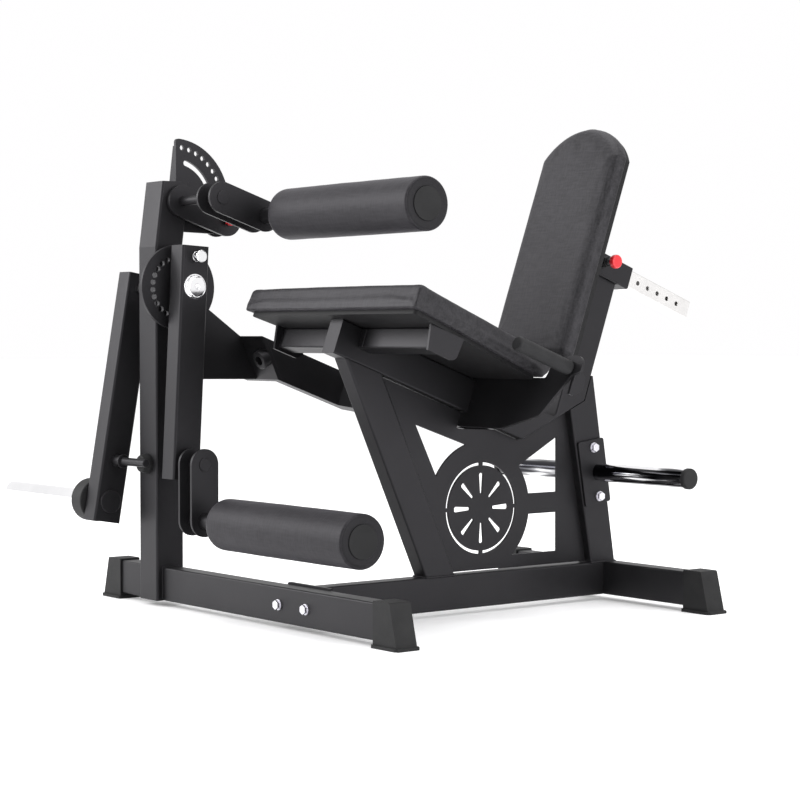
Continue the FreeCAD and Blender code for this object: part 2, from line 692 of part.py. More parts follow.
def make_arm_inner_tube():
    """The tube that crosses under the seat to the foot of the back post, drawn in plan."""
    near = -S.arm_side_x
    far = -S.arm_side_x - S.arm_side_width
    end = -S.beam_width / 2
    lead = (S.arm_inner_a - S.arm_corner_a) / (end - near)
    height = S.arm_top - S.arm_bottom
    body = new_body("arm_inner_tube")
    outer = new_sketch(body, "XY", S.arm_bottom)
    back = 44
    outline(outer, [(near, S.arm_corner_a), (end, S.arm_inner_a), (end, S.arm_inner_a + back),
                    (far, S.arm_corner_a + back + (far - near) * lead), (far, S.arm_corner_a)])
    pad(body, outer, height)
    wall = S.arm_wall
    inner = new_sketch(body, "XY", S.arm_bottom + wall)
    outline(inner, [(near - wall, S.arm_corner_a + wall), (end + 5, S.arm_inner_a + 1.8 * wall),
                    (end + 5, S.arm_inner_a + back - wall),
                    (far + wall, S.arm_corner_a + back + (far - near) * lead - wall),
                    (far + wall, S.arm_corner_a + wall)])
    pocket(body, inner, height - 2 * wall, symmetric=False, backwards=True)
    keep("arm_inner_tube", place_on_seat(body))


# ---- seat frame -------------------------------------------------------------------------------------------


def rail_meeting(offset, depth):
    """Where a line of the leaning seat post, moved back by an offset, meets a line along the slope."""
    tangent = sine(S.seat_slope) / cosine(S.seat_slope)
    at_seat = S.seat_z - depth / cosine(S.seat_slope)
    start = S.seat_post_y + offset
    reach = start + S.seat_post_lean * (S.seat_post_z - at_seat - tangent * S.seat_y)
    y = reach / (1 - S.seat_post_lean * tangent)
    return y, at_seat - tangent * (y - S.seat_y)


def seat_post_y(offset, z):
    return S.seat_post_y + offset + (S.seat_post_z - z) * S.seat_post_lean


def make_front_seat_post():
    depth = S.seat_post_depth
    body, block = profile("front_seat_post", [(seat_post_y(0, beam_top), beam_top),
                                              (seat_post_y(depth, beam_top), beam_top),
                                              rail_meeting(depth, S.rail_depth),
                                              rail_meeting(0, S.rail_depth)], S.beam_width)
    fillet(body, block, is_long_side(150), S.beam_corner)
    wall = 1.1 * S.beam_wall
    low = beam_top - 5
    hollow(body, [(seat_post_y(wall, low), low), (seat_post_y(depth - wall, low), low),
                  rail_meeting(depth - wall, S.rail_depth - 5), rail_meeting(wall, S.rail_depth - 5)],
           S.beam_width - 2 * S.beam_wall)
    keep("front_seat_post", place(body))


def make_seat_rail():
    """The rail under the seat, closed at its front end."""
    body = new_body("seat_rail")
    outer = new_sketch(body, "XZ")
    rectangle(outer, S.beam_width / 2, S.rail_depth / 2, S.beam_corner)
    pad(body, outer, S.rail_length, backwards=True)
    inner = new_sketch(body, "XZ", -S.beam_wall)
    rectangle(inner, S.beam_width / 2 - S.beam_wall, S.rail_depth / 2 - S.beam_wall)
    pocket(body, inner, S.rail_length, symmetric=False)
    keep("seat_rail", place_on_seat(body, 0, 0, -S.rail_depth / 2))


def make_back_post():
    """The L-shaped tube: a leg under the seat that turns up into the back post."""
    leg_start = S.plate_a + S.plate_thickness
    bend = 2 * S.beam_corner
    body, block = profile("back_post", [(leg_start, -S.leg_bottom), (S.leg_end, -S.leg_bottom, bend),
                                        (S.post_rear_a, S.chamfer_top, bend), (S.post_rear_a, S.sleeve_base),
                                        (S.post_front_a, S.sleeve_base), (S.post_front_a, 0, bend),
                                        (leg_start, 0)], S.beam_width)
    fillet(body, block, is_long_side(100), S.beam_corner)
    wall = S.beam_wall
    hollow(body, [(leg_start - 5, wall - S.leg_bottom), (S.leg_end - wall / 2, wall - S.leg_bottom),
                  (S.post_rear_a - wall, S.chamfer_top + wall), (S.post_rear_a - wall, S.sleeve_base + 5),
                  (S.post_front_a + wall, S.sleeve_base + 5), (S.post_front_a + wall, -wall),
                  (leg_start - 5, -wall)], S.beam_width - 2 * wall)
    keep("back_post", place_on_seat(body))


def chamfer_point(share, drop=0):
    """A point down the back post's slanted corner, by a share of its length, or that far below it."""
    corner_y, corner_z = seat_point(S.post_rear_a, S.chamfer_top)
    low_y, low_z = seat_point(S.leg_end, -S.leg_bottom)
    return corner_y + (low_y - corner_y) * share, corner_z + (low_z - corner_z) * share - drop


def make_rear_upright():
    """The leaning upright from the base beam; its top is cut to the back post's slanted corner."""
    corner_y, corner_z = chamfer_point(0)
    front_y, front_z = chamfer_point(S.upright_share)
    tip_y, tip_z = seat_point(S.post_rear_a, S.chamfer_top + S.upright_tip)
    body, block = profile("rear_upright", [(S.upright_front, beam_top), (S.upright_rear, beam_top),
                                           (tip_y + S.upright_tip_width, tip_z), (tip_y, tip_z),
                                           (corner_y, corner_z), (front_y, front_z)], S.beam_width)
    fillet(body, block, is_long_side(200), S.beam_corner)
    wall = S.upright_wall
    hollow(body, [(S.upright_front + wall, beam_top - 5), (S.upright_rear - wall, beam_top - 5),
                  (corner_y + 8 * wall, corner_z - 3 * wall), (front_y + 2.5 * wall, front_z - 3.4 * wall)],
           S.beam_width - 2 * S.beam_wall)
    bore(body, [(y, z, S.bolt_hole_radius) for y, z in peg_bolt_points()], 2 * S.beam_width)
    keep("rear_upright", place(body))


def make_seat_cross_bar():
    """A short tube and a slanted end plate on each side of the rail, under the seat."""
    solids = []
    for side in (-1, 1):
        length = S.cross_bar_reach - S.beam_width / 2
        bar = tube("seat_cross_bar", "YZ", S.cross_bar_width, S.cross_bar_depth, length, S.beam_wall,
                   S.beam_corner)
        start = S.beam_width / 2 if side > 0 else -S.cross_bar_reach
        solids.append(place_on_seat(bar, start, S.cross_bar_a + S.cross_bar_width / 2, -S.cross_bar_depth / 2))

        def draw(sketch):
            low = -S.cross_bar_depth - 7
            outline(sketch, [(S.cross_bar_a - 18, 0), (S.cross_bar_a - 9, low), (S.cross_bar_a + 60, low, 16),
                             (S.cross_bar_a + 66, 0)])

        end = plate("bracket_end", "YZ", draw, S.end_plate)
        solids.append(place_on_seat(end, S.cross_bar_reach if side > 0 else -S.cross_bar_reach - S.end_plate))
    group("seat_cross_bar", solids)


def seat_outline(inset, corner, longer=0):
    """The seat's plan: wide at the front, narrow at the back."""
    front = S.cushion_front_half - inset
    narrowing = (S.cushion_front_half - S.cushion_rear_half) / (S.cushion_rear + S.cushion_front)
    rear = S.cushion_rear_half - inset - longer * narrowing
    start = inset - S.cushion_front
    end = S.cushion_rear - inset + longer
    return [(-front, start, corner), (front, start, corner), (rear, end, corner), (-rear, end, corner)]


def make_seat():
    board = plate("seat_board", "XY", lambda sketch: outline(sketch, seat_outline(S.board_inset, 8)),
                  S.board_thickness)
    keep("seat_board", place_on_seat(board))
    body = new_body("seat_cushion")
    sketch = new_sketch(body, "XY")
    outline(sketch, seat_outline(0, 10, S.cushion_overhang))
    block = pad(body, sketch, S.cushion_thickness)
    height = S.cushion_thickness.value
    fillet(body, block, lambda edge: all(abs(v.Z - height) < 0.001 for v in edge.Vertexes), 8)
    wedge = new_sketch(body, "YZ")
    beyond = S.cushion_rear + 2 * S.cushion_overhang
    outline(wedge, [(S.cushion_rear, 0), (beyond, 0), (beyond, S.cushion_thickness),
                    (S.cushion_rear + S.cushion_overhang, S.cushion_thickness)])
    pocket(body, wedge, 2 * S.cushion_front_half)
    keep("seat_cushion", place_on_seat(body, 0, 0, S.board_thickness))


# ---- side panel -------------------------------------------------------------------------------------------


def panel_window(body, corners, radius, held):
    """A window whose side next to the ring is an arc about the ring's middle."""
    sketch = new_sketch(body, "YZ")
    arc_sided(sketch, corners, (S.ring_y, S.ring_z), radius, held, bulges_out=False)
    return pocket(body, sketch, 4 * S.panel_thickness)


def pattern_about_ring(body, draw, count, start=0):
    """Cut one opening beside the ring's middle, turned by a start angle, and repeat it round the ring."""
    sketch = new_sketch(body, "YZ")
    sketch.AttachmentOffset = FreeCAD.Placement(Vector(), FreeCAD.Rotation(Vector(0, 0, 1), start))
    bind(sketch, "AttachmentOffset.Base.x", S.ring_y)
    bind(sketch, "AttachmentOffset.Base.y", S.ring_z)
    draw(sketch)
    first = pocket(body, sketch, 4 * S.panel_thickness)
    doc.recompute()
    made = body.newObject("PartDesign::PolarPattern", "PolarPattern")
    made.Originals = [first]
    made.Axis = (sketch, ["N_Axis"])
    made.Angle = 360
    made.Occurrences = count
    body.Tip = made


def make_side_panel():
    """The flat panel between the seat post and the upright, with windows and a ring of plain petals."""
    gap = S.panel_gap
    front_y, front_z = chamfer_point(S.upright_share, gap)
    leg_y, leg_z = seat_point(S.leg_end, -S.leg_bottom - gap)
    lean = (front_y - S.upright_front) / (front_z + gap - beam_top)
    low = beam_top + 4 * gap
    corners = [(seat_post_y(S.seat_post_depth + gap, low), low),
               (S.upright_front - gap + (low - beam_top) * lean, low),
               (front_y - gap, front_z - gap), (leg_y, leg_z),
               seat_point(S.plate_a + S.panel_foot, -S.leg_bottom - gap),
               seat_point(S.plate_a + S.plate_thickness, -S.panel_drop),
               seat_point(S.plate_a - 2 * gap, -S.panel_drop),
               seat_point(S.plate_a - 2 * gap, -S.rail_depth - gap),
               rail_meeting(S.seat_post_depth + gap, S.rail_depth + gap)]
    body = new_body("side_panel")
    sketch = new_sketch(body, "YZ")
    outline(sketch, corners)
    pad(body, sketch, S.panel_thickness)
    panel_window(body, [(S.window_peak_y, S.window_peak_z), (S.window_left_y, S.window_left_z),
                        (S.window_tip_y, S.window_tip_z)], S.window_radius, "x")
    right = S.window_right
    panel_window(body, [(S.window_band_y, S.band_top), (right, S.band_top), (right, S.window_top),
                        (S.window_shoulder_y, S.window_shoulder)], S.disc_radius, "y")
    panel_window(body, [(S.window_low_y, S.window_low), (right, S.window_low), (right, S.band_low),
                        (S.window_band_y, S.band_low)], S.disc_radius, "y")
    half_slot = S.ring_slot / 2
    pattern_about_ring(body, lambda sketch: ring_slot(sketch, S.ring_radius - half_slot,
                                                      S.ring_radius + half_slot, S.ring_slot_half_angle), 4, 45)

    def petal(sketch):
        inner = S.petal_inner
        outer = S.petal_outer
        half = S.petal_width / 2
        outline(sketch, [(inner, -half / 2, 2), (outer, -half, 4), (outer, half, 4), (inner, half / 2, 2)])

    pattern_about_ring(body, petal, 8)
    keep("side_panel", place(body, S.panel_x))


# ---- handles ----------------------------------------------------------------------------------------------


def make_wing_plate():
    """The winged plate behind the seat, with a round tab at each end for a handle and a gusset behind it."""
    half = [(133, -100, 16), (236, -70, 18), (298, 14, 10), (320, 22, 8), (320, 54, 20), (272, 54, 16),
            (262, 32, 8), (234, 32, 10), (226, 7, 6)]
    mirrored = [(-x, b, r) for x, b, r in half[::-1]]
    body = plate("wing_plate", "XZ", lambda sketch: outline(sketch, half + mirrored), S.plate_thickness)
    solids = [place_on_seat(body, 0, S.plate_a)]
    for side in (-1, 1):
        rear = S.plate_a + S.plate_thickness

        bottom = 2 if side < 0 else -22

        def draw(sketch):
            outline(sketch, [(rear, bottom), (rear + 12, bottom), (rear + 30, bottom / 2 + 5),
                             (rear + 30, 26, 12), (rear, 26)])

        gusset = plate("handle_gusset", "YZ", draw, S.plate_thickness)
        solids.append(place_on_seat(gusset, side * 296 - S.plate_thickness / 2))
    group("handle_wing_plate", solids)


def make_handles():
    bars = []
    grips = []
    for side in (-1, 1):
        bar = tube_along_slope("handle_bar", S.bar_radius, None, S.grip_front + 3, S.plate_a)
        grip = tube_along_slope("handle_grip", S.grip_radius, S.bar_radius, S.grip_front, S.grip_rear)
        bars.append(place_on_seat(bar, side * S.grip_x, 0, S.grip_b))
        grips.append(place_on_seat(grip, side * S.grip_x, 0, S.grip_b))
    group("handle_bars", bars)
    group("handle_grips", grips)


def tube_along_slope(name, outer, inner, start, end):
    """A round bar down the slope, or a closed-nosed sleeve over one, as a revolution about the Y axis."""
    body = new_body(name)
    sketch = new_sketch(body, "XY")
    if inner is None:
        outline(sketch, [(0, start), (outer, start), (outer, end), (0, end)])
    else:
        outline(sketch, [(0, start), (outer, start, 4), (outer, end, 1.5), (inner, end), (inner, start + 3),
                         (0, start + 3)])
    made = body.newObject("PartDesign::Revolution", "Revolution")
    made.Profile = sketch
    made.ReferenceAxis = (origin_feature(body, "Y_Axis"), [""])
    made.Angle = 360
    return body


# ---- back rest --------------------------------------------------------------------------------------------


def make_back_sleeve():
    body = new_body("back_sleeve")
    sketch = new_sketch(body, "XZ")
    rectangle(sketch, S.sleeve_width / 2, S.sleeve_height / 2, 4)
    inner = S.slide_width / 2 + S.slide_clearance
    rectangle(sketch, inner, inner)
    pad(body, sketch, S.sleeve_rear - S.sleeve_front, backwards=True)
    hole = new_sketch(body, "YZ")
    circle(hole, S.slide_hole_a - S.sleeve_front, 0, S.pin_radius + S.running_gap)
    pocket(body, hole, S.sleeve_width, symmetric=False, backwards=True)
    keep("back_sleeve", place_on_seat(body, 0, S.sleeve_front, S.slide_b))
    wide = 11
    barrel = turned("sleeve_pin_barrel", [(S.sleeve_width / 2, S.pin_radius + S.running_gap),
                                          (S.sleeve_width / 2, wide + 3), (S.sleeve_width / 2 + 6, wide + 3),
                                          (S.sleeve_width / 2 + 6, wide), (S.sleeve_width / 2 + 26, wide, 2),
                                          (S.sleeve_width / 2 + 26, S.pin_radius + S.running_gap)])
    keep("sleeve_pin_barrel", place_on_seat(barrel, 0, S.slide_hole_a, S.slide_b))


def make_slide():
    """The square chrome tube of the back rest, with a row of pin holes, its plug and the pad's bracket."""
    length = S.slide_rear - S.slide_front
    body = tube("slide_tube", "XZ", S.slide_width, S.slide_width, length, S.slide_wall, 3)
    holes = new_sketch(body, "YZ")
    for step in range(9):
        circle(holes, S.slide_hole_a - S.slide_front + step * S.slide_pitch, 0, S.slide_hole)
    pocket(body, holes, 2 * S.slide_width)
    keep("slide_tube", place_on_seat(body, 0, S.slide_front, S.slide_b))
    cap = plate("slide_tube_cap", "XZ", lambda sketch: rectangle(sketch, S.slide_width / 2, S.slide_width / 2, 3),
                S.cap_thickness)
    keep("slide_tube_cap", place_on_seat(cap, 0, S.slide_rear, S.slide_b))

    def bracket_outline(sketch):
        outline(sketch, [(-38, -50, 8), (38, -50, 8), (38, 46, 8), (-38, 46, 8)])

    bracket = plate("pad_bracket", "XZ", bracket_outline, S.slide_front - S.pad_rear)
    keep("pad_bracket", place_on_seat(bracket, 0, S.pad_rear, S.slide_b))


def pad_shape(name, inset, front, rear):
    """The back pad's outline, a tall rectangle with an arched top, made between two faces."""
    half = S.pad_half - inset
    bottom = S.pad_bottom + inset
    rise = S.pad_rise - inset / 2
    arch = (half * half + rise * rise) / (2 * rise)
    body = new_body(name)
    sketch = new_sketch(body, "XZ")
    arc_sided(sketch, [(-half, S.pad_shoulder), (-half, bottom), (half, bottom), (half, S.pad_shoulder)],
              (0, S.pad_shoulder + rise - arch), arch, "x", bulges_out=True)
    block = pad(body, sketch, rear - front, backwards=True)
    return body, block


def make_back_pad():
    board, block = pad_shape("back_board", S.pad_board_inset, S.pad_board_front, S.pad_rear)
    keep("back_board", place_on_seat(board, 0, S.pad_board_front))
    body, block = pad_shape("back_cushion", size(0), S.pad_front, S.pad_board_front)
    upright = fillet(body, block, lambda edge: edge.Length < 36 and edge.Vertexes[0].Z < 200, 14)
    doc.recompute()
    fillet(body, upright, lambda edge: all(abs(v.Y) < 0.001 for v in edge.Vertexes), 12)
    keep("back_cushion", place_on_seat(body, 0, S.pad_front))


def pull_pin(name, tip, bore_end, knob_start, knob_end, pin_radius, knob_radius):
    """A spring pin with a round pull knob; distances run along its own X axis."""
    neck = pin_radius + 3
    return turned(name, [(tip, 0), (tip, pin_radius - 1), (tip + 1, pin_radius), (bore_end, pin_radius),
                         (bore_end, neck), (knob_start, neck), (knob_start, knob_radius, 3),
                         (knob_end, knob_radius, 4), (knob_end, 0)])


def make_back_pin():
    barrel_end = S.sleeve_width / 2 + 26
    tip = S.slide_width / 2 + 0.4
    body = pull_pin("back_pin", tip, barrel_end + S.side_gap, barrel_end + 17, barrel_end + 29,
                    S.pin_radius, 14.5)
    keep("back_pin", place_on_seat(body, 0, S.slide_hole_a, S.slide_b))


# ---- plate pegs -------------------------------------------------------------------------------------------


def peg_bolt_points():
    return [(S.peg_y - 16.5, S.peg_z + 53.4), (S.peg_y + 0.8, S.peg_z - 51)]


def make_pegs():
    """A slanted bracket plate, a chrome peg and its cap on each side of the rear upright."""
    brackets = []
    pegs = []
    caps = []
    inner = S.beam_width / 2
    outer = inner + S.peg_plate
    for side in (-1, 1):
        def draw(sketch):
            outline(sketch, [(S.peg_y - 61, S.peg_z + 64.5, 5), (S.peg_y - 37.6, S.peg_z - 72.6, 5),
                             (S.peg_y + 33.8, S.peg_z - 61.9, 5), (S.peg_y + 11.5, S.peg_z + 73.9, 5)])
            for y, z in peg_bolt_points():
                circle(sketch, y, z, S.bolt_hole_radius)

        bracket = plate("peg_bracket", "YZ", draw, S.peg_plate)
        brackets.append(place(bracket, inner if side > 0 else -outer))
        peg = turned("storage_peg", [(outer, S.peg_bore), (outer, S.peg_radius), (S.peg_end, S.peg_radius),
                                     (S.peg_end, S.peg_bore)])
        cap = turned("peg_cap", [(S.peg_end, 0), (S.peg_end, S.peg_cap_radius, 2),
                                 (S.peg_cap_end, S.peg_cap_radius, 4), (S.peg_cap_end, 0)])
        facing = None if side > 0 else (Vector(0, 0, 1), 180)
        pegs.append(place(peg, 0, S.peg_y, S.peg_z, facing))
        caps.append(place(cap, 0, S.peg_y, S.peg_z, facing))
    group("peg_brackets", brackets)
    group("storage_pegs", pegs)
    group("peg_caps", caps)
    bolts = []
    for index, (y, z) in enumerate(peg_bolt_points()):
        made = bolt(f"peg_bolt_{index}", 2 * outer)
        bolts.append(place(made, outer, y, z, (Vector(0, 0, 1), 180)))
    group("peg_bolts", bolts)


# ---- quadrant and stop ------------------------------------------------------------------------------------


def make_quadrant():
    """The fixed sector plate behind the post's top: a row of pin holes, a curved slot and a welded rib."""
    rear_low = S.post_depth - S.post_front - S.thigh_y
    top = S.post_top - S.thigh_z
    per_height = S.post_lean / (S.post_top - S.post_bend)
    foot_y = rear_low + (S.thigh_z - S.quadrant_foot - S.post_bend) * per_height
    body = new_body("quadrant_plate")
    sketch = new_sketch(body, "YZ")
    arc_start = (size(0.6), S.quadrant_radius)
    arc_end = (S.quadrant_radius * cosine(29), -S.quadrant_foot)
    arc_sided(sketch, [arc_start, (0.6, top), (rear_low + S.post_lean, top), (foot_y, -S.quadrant_foot), arc_end],
              (0, 0), S.quadrant_radius, "x", bulges_out=True)
    for step in range(12):
        angle = S.quadrant_start - step * S.quadrant_step
        circle(sketch, S.quadrant_holes * cosine(angle), S.quadrant_holes * sine(angle), S.quadrant_hole)
    circle(sketch, 50 * cosine(34), 50 * sine(34), 2.5)
    block = pad(body, sketch, S.quadrant_plate)

    def is_top_corner(edge):
        return all(v.Z > 110 and abs(v.Y - 0.6) < 0.1 for v in edge.Vertexes)

    fillet(body, block, is_top_corner, 7)
    slot = curved_slot()
    slotted = cut("quadrant_slotted", body, slot)
    rib, block = profile("quadrant_rib", [(-S.rib_bottom, top), (0, top), (0, 118), (-S.rib_top, 118)],
                         S.rib_thickness, "XZ")
    move(rib, 0, 0.6 + S.rib_thickness / 2, 0)
    whole = fuse("quadrant_plate", [slotted, rib])
    keep("quadrant_plate", place(whole, -S.quadrant_near - S.quadrant_plate, S.thigh_y, S.thigh_z))


def curved_slot():
    """The cutting shape of the quadrant's slot: part of a ring with round ends."""
    start = -2
    depth = S.quadrant_plate + 4
    sector = []
    for name, radius in (("slot_outer", S.slot_radius + S.slot_half_width),
                         ("slot_inner", S.slot_radius - S.slot_half_width)):
        made = doc.addObject("Part::Cylinder", name)
        bind(made, "Radius", radius)
        bind(made, "Height", depth)
        bind(made, "Angle", S.slot_high - S.slot_low)
        sector.append(made)
    ring_part = cut("slot_ring", *sector)
    ends = []
    for angle in (0, S.slot_high - S.slot_low):
        made = doc.addObject("Part::Cylinder", "slot_end")
        bind(made, "Radius", S.slot_half_width)
        bind(made, "Height", depth)
        ends.append(move(made, S.slot_radius * cosine(angle), S.slot_radius * sine(angle), 0))
    flat = fuse("slot_flat", [ring_part, *ends])
    turn(flat, Vector(0, 0, 1), S.slot_low)
    upright = doc.addObject("Part::Compound", "slot_upright")
    upright.Links = [flat]
    turn(upright, Vector(1, 1, 1), 120)
    return move(upright, start)


def make_stop_bumper():
    """A rubber buffer on the front of the post, where the swing's stop rod lands."""
    length = S.bumper_y - S.post_front
    body = turned("stop_bumper", [(0, 0), (0, S.bumper_radius), (5, S.bumper_radius), (length, 17, 3),
                                  (length, 0)])
    keep("stop_bumper", place(body, -S.post_x, -S.post_front, S.bumper_z, (Vector(0, 0, -1), 90)))


# ---- swing ------------------------------------------------------------------------------------------------

SWING_TILT = (Vector(-1, 0, 0), S.swing_tilt)
LEVER_TILT = (Vector(-1, 0, 0), S.lever_tilt)


def closed_tube(name, above, below, holes):
    """A hanging rectangular tube with closed ends, a vent in its foot and holes across it."""
    body = new_body(name)
    outer = new_sketch(body, "XY", -below)
    rectangle(outer, S.arm_tube_width / 2, S.arm_tube_depth / 2, S.tube_corner)
    pad(body, outer, above + below)
    inner = new_sketch(body, "XY", S.tube_wall - below)
    rectangle(inner, S.arm_tube_width / 2 - S.tube_wall, S.arm_tube_depth / 2 - S.tube_wall)
    pocket(body, inner, above + below - 2 * S.tube_wall, symmetric=False, backwards=True)
    vent = new_sketch(body, "XY", -below)
    circle(vent, 0, 0, S.vent_radius)
    pocket(body, vent, 4 * S.tube_wall)
    bore(body, holes, 2 * S.arm_tube_width)
    return body


def make_main_shaft():
    """The main shaft, from the weight arm through the post to the lever, with the index disc's hub."""
    end = S.lever_far - S.arm_tube_width + 1
    shaft = ring("main_shaft", S.shaft_radius, size(0), S.arm_far, end)
    keep("main_shaft", place(shaft, 0, S.pivot_y, S.pivot_z))


def make_index_disc():
    body = new_body("index_disc")
    sketch = new_sketch(body, "YZ")
    circle(sketch, 0, 0, S.disc_outer)
    circle(sketch, 0, 0, S.shaft_radius)
    for step in range(-8, 12):
        angle = S.disc_hole_start + step * S.disc_hole_step
        circle(sketch, S.disc_hole_circle * cosine(angle), S.disc_hole_circle * sine(angle), S.disc_hole)
    pad(body, sketch, S.disc_far - S.disc_near)
    disc = move(body, -S.disc_far, 0, 0)
    hub_far = ring("hub_far", S.hub_radius, S.shaft_radius, S.housing_near - S.side_gap, S.disc_far)
    hub_near = ring("hub_near", S.hub_radius, S.shaft_radius, S.disc_near, S.hub_near)
    whole = fuse("index_disc", [disc, hub_far, hub_near])
    keep("index_disc", place(whole, 0, S.pivot_y, S.pivot_z))


def make_weight_arm():
    body = closed_tube("weight_arm", S.swing_above, S.swing_below,
                       [(0, 0, S.shaft_radius), (0, -S.stop_drop, S.stop_radius)])
    middle = -S.arm_far + S.arm_tube_width / 2
    arm = place(body, middle, S.pivot_y, S.pivot_z, SWING_TILT)
    near = S.arm_far - S.arm_tube_width
    plug = turned("sleeve_plug", [(-near, 0), (-near, S.plug_radius), (5 - near, S.plug_radius, 1.5),
                                  (5 - near, 0)])
    y, z = swing_point(S.sleeve_drop)
    group("weight_arm", [arm, place(plug, 0, y, z)])


def swing_point(drop):
    """Machine Y and Z of a point on the weight arm's middle line, below the main shaft."""
    return S.pivot_y - drop * sine(S.swing_tilt), S.pivot_z - drop * cosine(S.swing_tilt)


def make_weight_sleeve():
    y, z = swing_point(S.sleeve_drop)
    start = -S.arm_far
    tip = -S.weight_sleeve_end
    stop = start - S.collar_thickness
    body = turned("weight_sleeve", [(start, S.weight_sleeve_bore), (start, S.collar_bore), (stop, S.collar_bore),
                                    (stop, S.weight_sleeve_radius),
                                    (tip + 2, S.weight_sleeve_radius), (tip, S.weight_sleeve_radius - 2),
                                    (tip, 0), (tip + 10, 0), (tip + 10, S.weight_sleeve_bore)])
    keep("weight_sleeve", place(body, 0, y, z))
    collar = turned("sleeve_collar", [(start, S.collar_bore), (start, S.collar_radius, 3),
                                      (stop, S.collar_radius, 3), (stop, S.collar_bore)])
    keep("sleeve_collar", place(collar, 0, y, z))
    stop_y, stop_z = swing_point(S.stop_drop)
    near = S.arm_far - S.arm_tube_width
    rod = turned("stop_rod", [(-S.arm_far, 0), (-S.arm_far, S.stop_radius), (-near, S.stop_radius),
                              (-near, 12), (27 - near, 12), (27 - near, 14.5, 1), (32 - near, 14.5, 1),
                              (32 - near, S.stop_radius),
                              (-S.stop_near, S.stop_radius, 2), (-S.stop_near, 0)])
    keep("stop_rod", place(rod, 0, stop_y, stop_z))


# ---- lever and ankle roller -------------------------------------------------------------------------------


def make_lever():
    body = closed_tube("lever_tube", S.lever_above, S.lever_below,
                       [(0, 0, S.shaft_radius + S.running_gap),
                        (0, S.lever_pin_up, S.lever_pin_radius + S.running_gap),
                        (0, -S.link_drop, S.link_bolt_radius + S.running_gap)])
    middle = -S.lever_far + S.arm_tube_width / 2
    keep("lever_tube", place(body, middle, S.pivot_y, S.pivot_z, LEVER_TILT))
    near = S.lever_far - S.arm_tube_width
    cap = turned("pivot_cap", [(-near, 0), (-near, S.lever_cap_radius + 3), (2 - near, S.lever_cap_radius + 3),
                               (2 - near, S.lever_cap_radius), (10 - near, S.lever_cap_radius, 5),
                               (10 - near, S.cap_socket, 1), (4 - near, S.cap_socket), (4 - near, 0)])
    keep("pivot_cap", place(cap, 0, S.pivot_y, S.pivot_z))
    tip = -S.disc_near + 0.4
    face = S.side_gap - near
    pin = turned("lever_pin", [(tip, 0), (tip, S.lever_pin_radius - 1), (tip + 1, S.lever_pin_radius),
                               (face, S.lever_pin_radius), (face, 10.5), (face + 5, 10.5, 1),
                               (face + 5, S.lever_pin_radius), (face + 17, S.lever_pin_radius),
                               (face + 17, 12.5, 1), (face + 23, 12.5, 2), (face + 23, 0)])
    pin_y = S.pivot_y + S.lever_pin_up * sine(S.lever_tilt)
    pin_z = S.pivot_z + S.lever_pin_up * cosine(S.lever_tilt)
    keep("lever_pin", place(pin, 0, pin_y, pin_z))


def link_point():
    """Machine Y and Z of the ankle link's pivot, low on the lever."""
    return S.pivot_y - S.link_drop * sine(S.lever_tilt), S.pivot_z - S.link_drop * cosine(S.lever_tilt)


def link_plates(name, y, z, reach, pivot_radius, angle):
    """The two round-ended plates that carry a roller's axle; they hang down by an angle from level."""
    solids = []
    for near in (S.link_near_x, S.link_far_x):
        def draw(sketch):
            stadium(sketch, reach, S.link_radius)
            circle(sketch, 0, 0, pivot_radius)
            circle(sketch, reach, 0, S.axle_radius)

        made = plate(name, "YZ", draw, S.link_plate)
        solids.append(place(made, -near - S.link_plate, y, z, (Vector(-1, 0, 0), angle)))
    group(name, solids)


def make_axle(name, y, z):
    far = S.link_far_x + S.link_plate
    body = turned(name, [(-far - 6, 0), (-far - 6, S.axle_collar), (-far, S.axle_collar), (-far, S.axle_radius),
                         (-S.link_near_x, S.axle_radius), (-S.link_near_x, S.axle_collar),
                         (-S.roller_far - S.core_flange - S.side_gap, S.axle_collar),
                         (-S.roller_far - S.core_flange - S.side_gap, S.axle_radius),
                         (S.roller_near - 8, S.axle_radius), (S.roller_near - 8, 0)])
    keep(name, place(body, 0, y, z))


def make_roller(name, y, z):
    """A foam roller on a core with end flanges; the core's near end is closed."""
    far = -S.roller_far
    near = S.roller_near
    foam = turned(name + "_foam", [(far, S.core_radius), (far, S.roller_radius, S.roller_round),
                                   (near, S.roller_radius, S.roller_near_round), (near, S.core_radius)])
    keep(name + "_foam", place(foam, 0, y, z))
    hole = S.axle_radius + S.running_gap
    core = turned(name + "_core", [(far - S.core_flange, hole), (far - S.core_flange, S.core_flange_radius),
                                   (far, S.core_flange_radius), (far, S.core_radius), (near, S.core_radius),
                                   (near, S.core_flange_radius), (near + 1, S.core_flange_radius, 0.5),
                                   (near + 1, 0), (near - 7, 0), (near - 7, hole)])
    keep(name + "_core", place(core, 0, y, z))


def make_ankle_link():
    y, z = link_point()
    link_plates("ankle_link_plates", y, z, S.ankle_reach, S.link_bolt_radius, 90)
    lever_near = S.lever_far - S.arm_tube_width
    far = S.lever_far + S.side_gap
    plates_far = S.link_far_x + S.link_plate
    spacer_start = -lever_near + S.side_gap
    body = turned("ankle_link_bolt", [(-far - 6, 0), (-far - 6, 15), (-far, 15), (-far, S.link_bolt_radius),
                                      (spacer_start, S.link_bolt_radius), (spacer_start, 19),
                                      (-plates_far, 19), (-plates_far, S.link_bolt_radius),
                                      (-S.link_near_x, S.link_bolt_radius), (-S.link_near_x, 14),
                                      (2.5 - S.link_near_x, 14, 1), (2.5 - S.link_near_x, 0)])
    keep("ankle_link_bolt", place(body, 0, y, z))
    axle_z = z - S.ankle_reach
    make_axle("ankle_axle", y, axle_z)
    make_roller("ankle_roller", y, axle_z)


# ---- thigh hold-down --------------------------------------------------------------------------------------


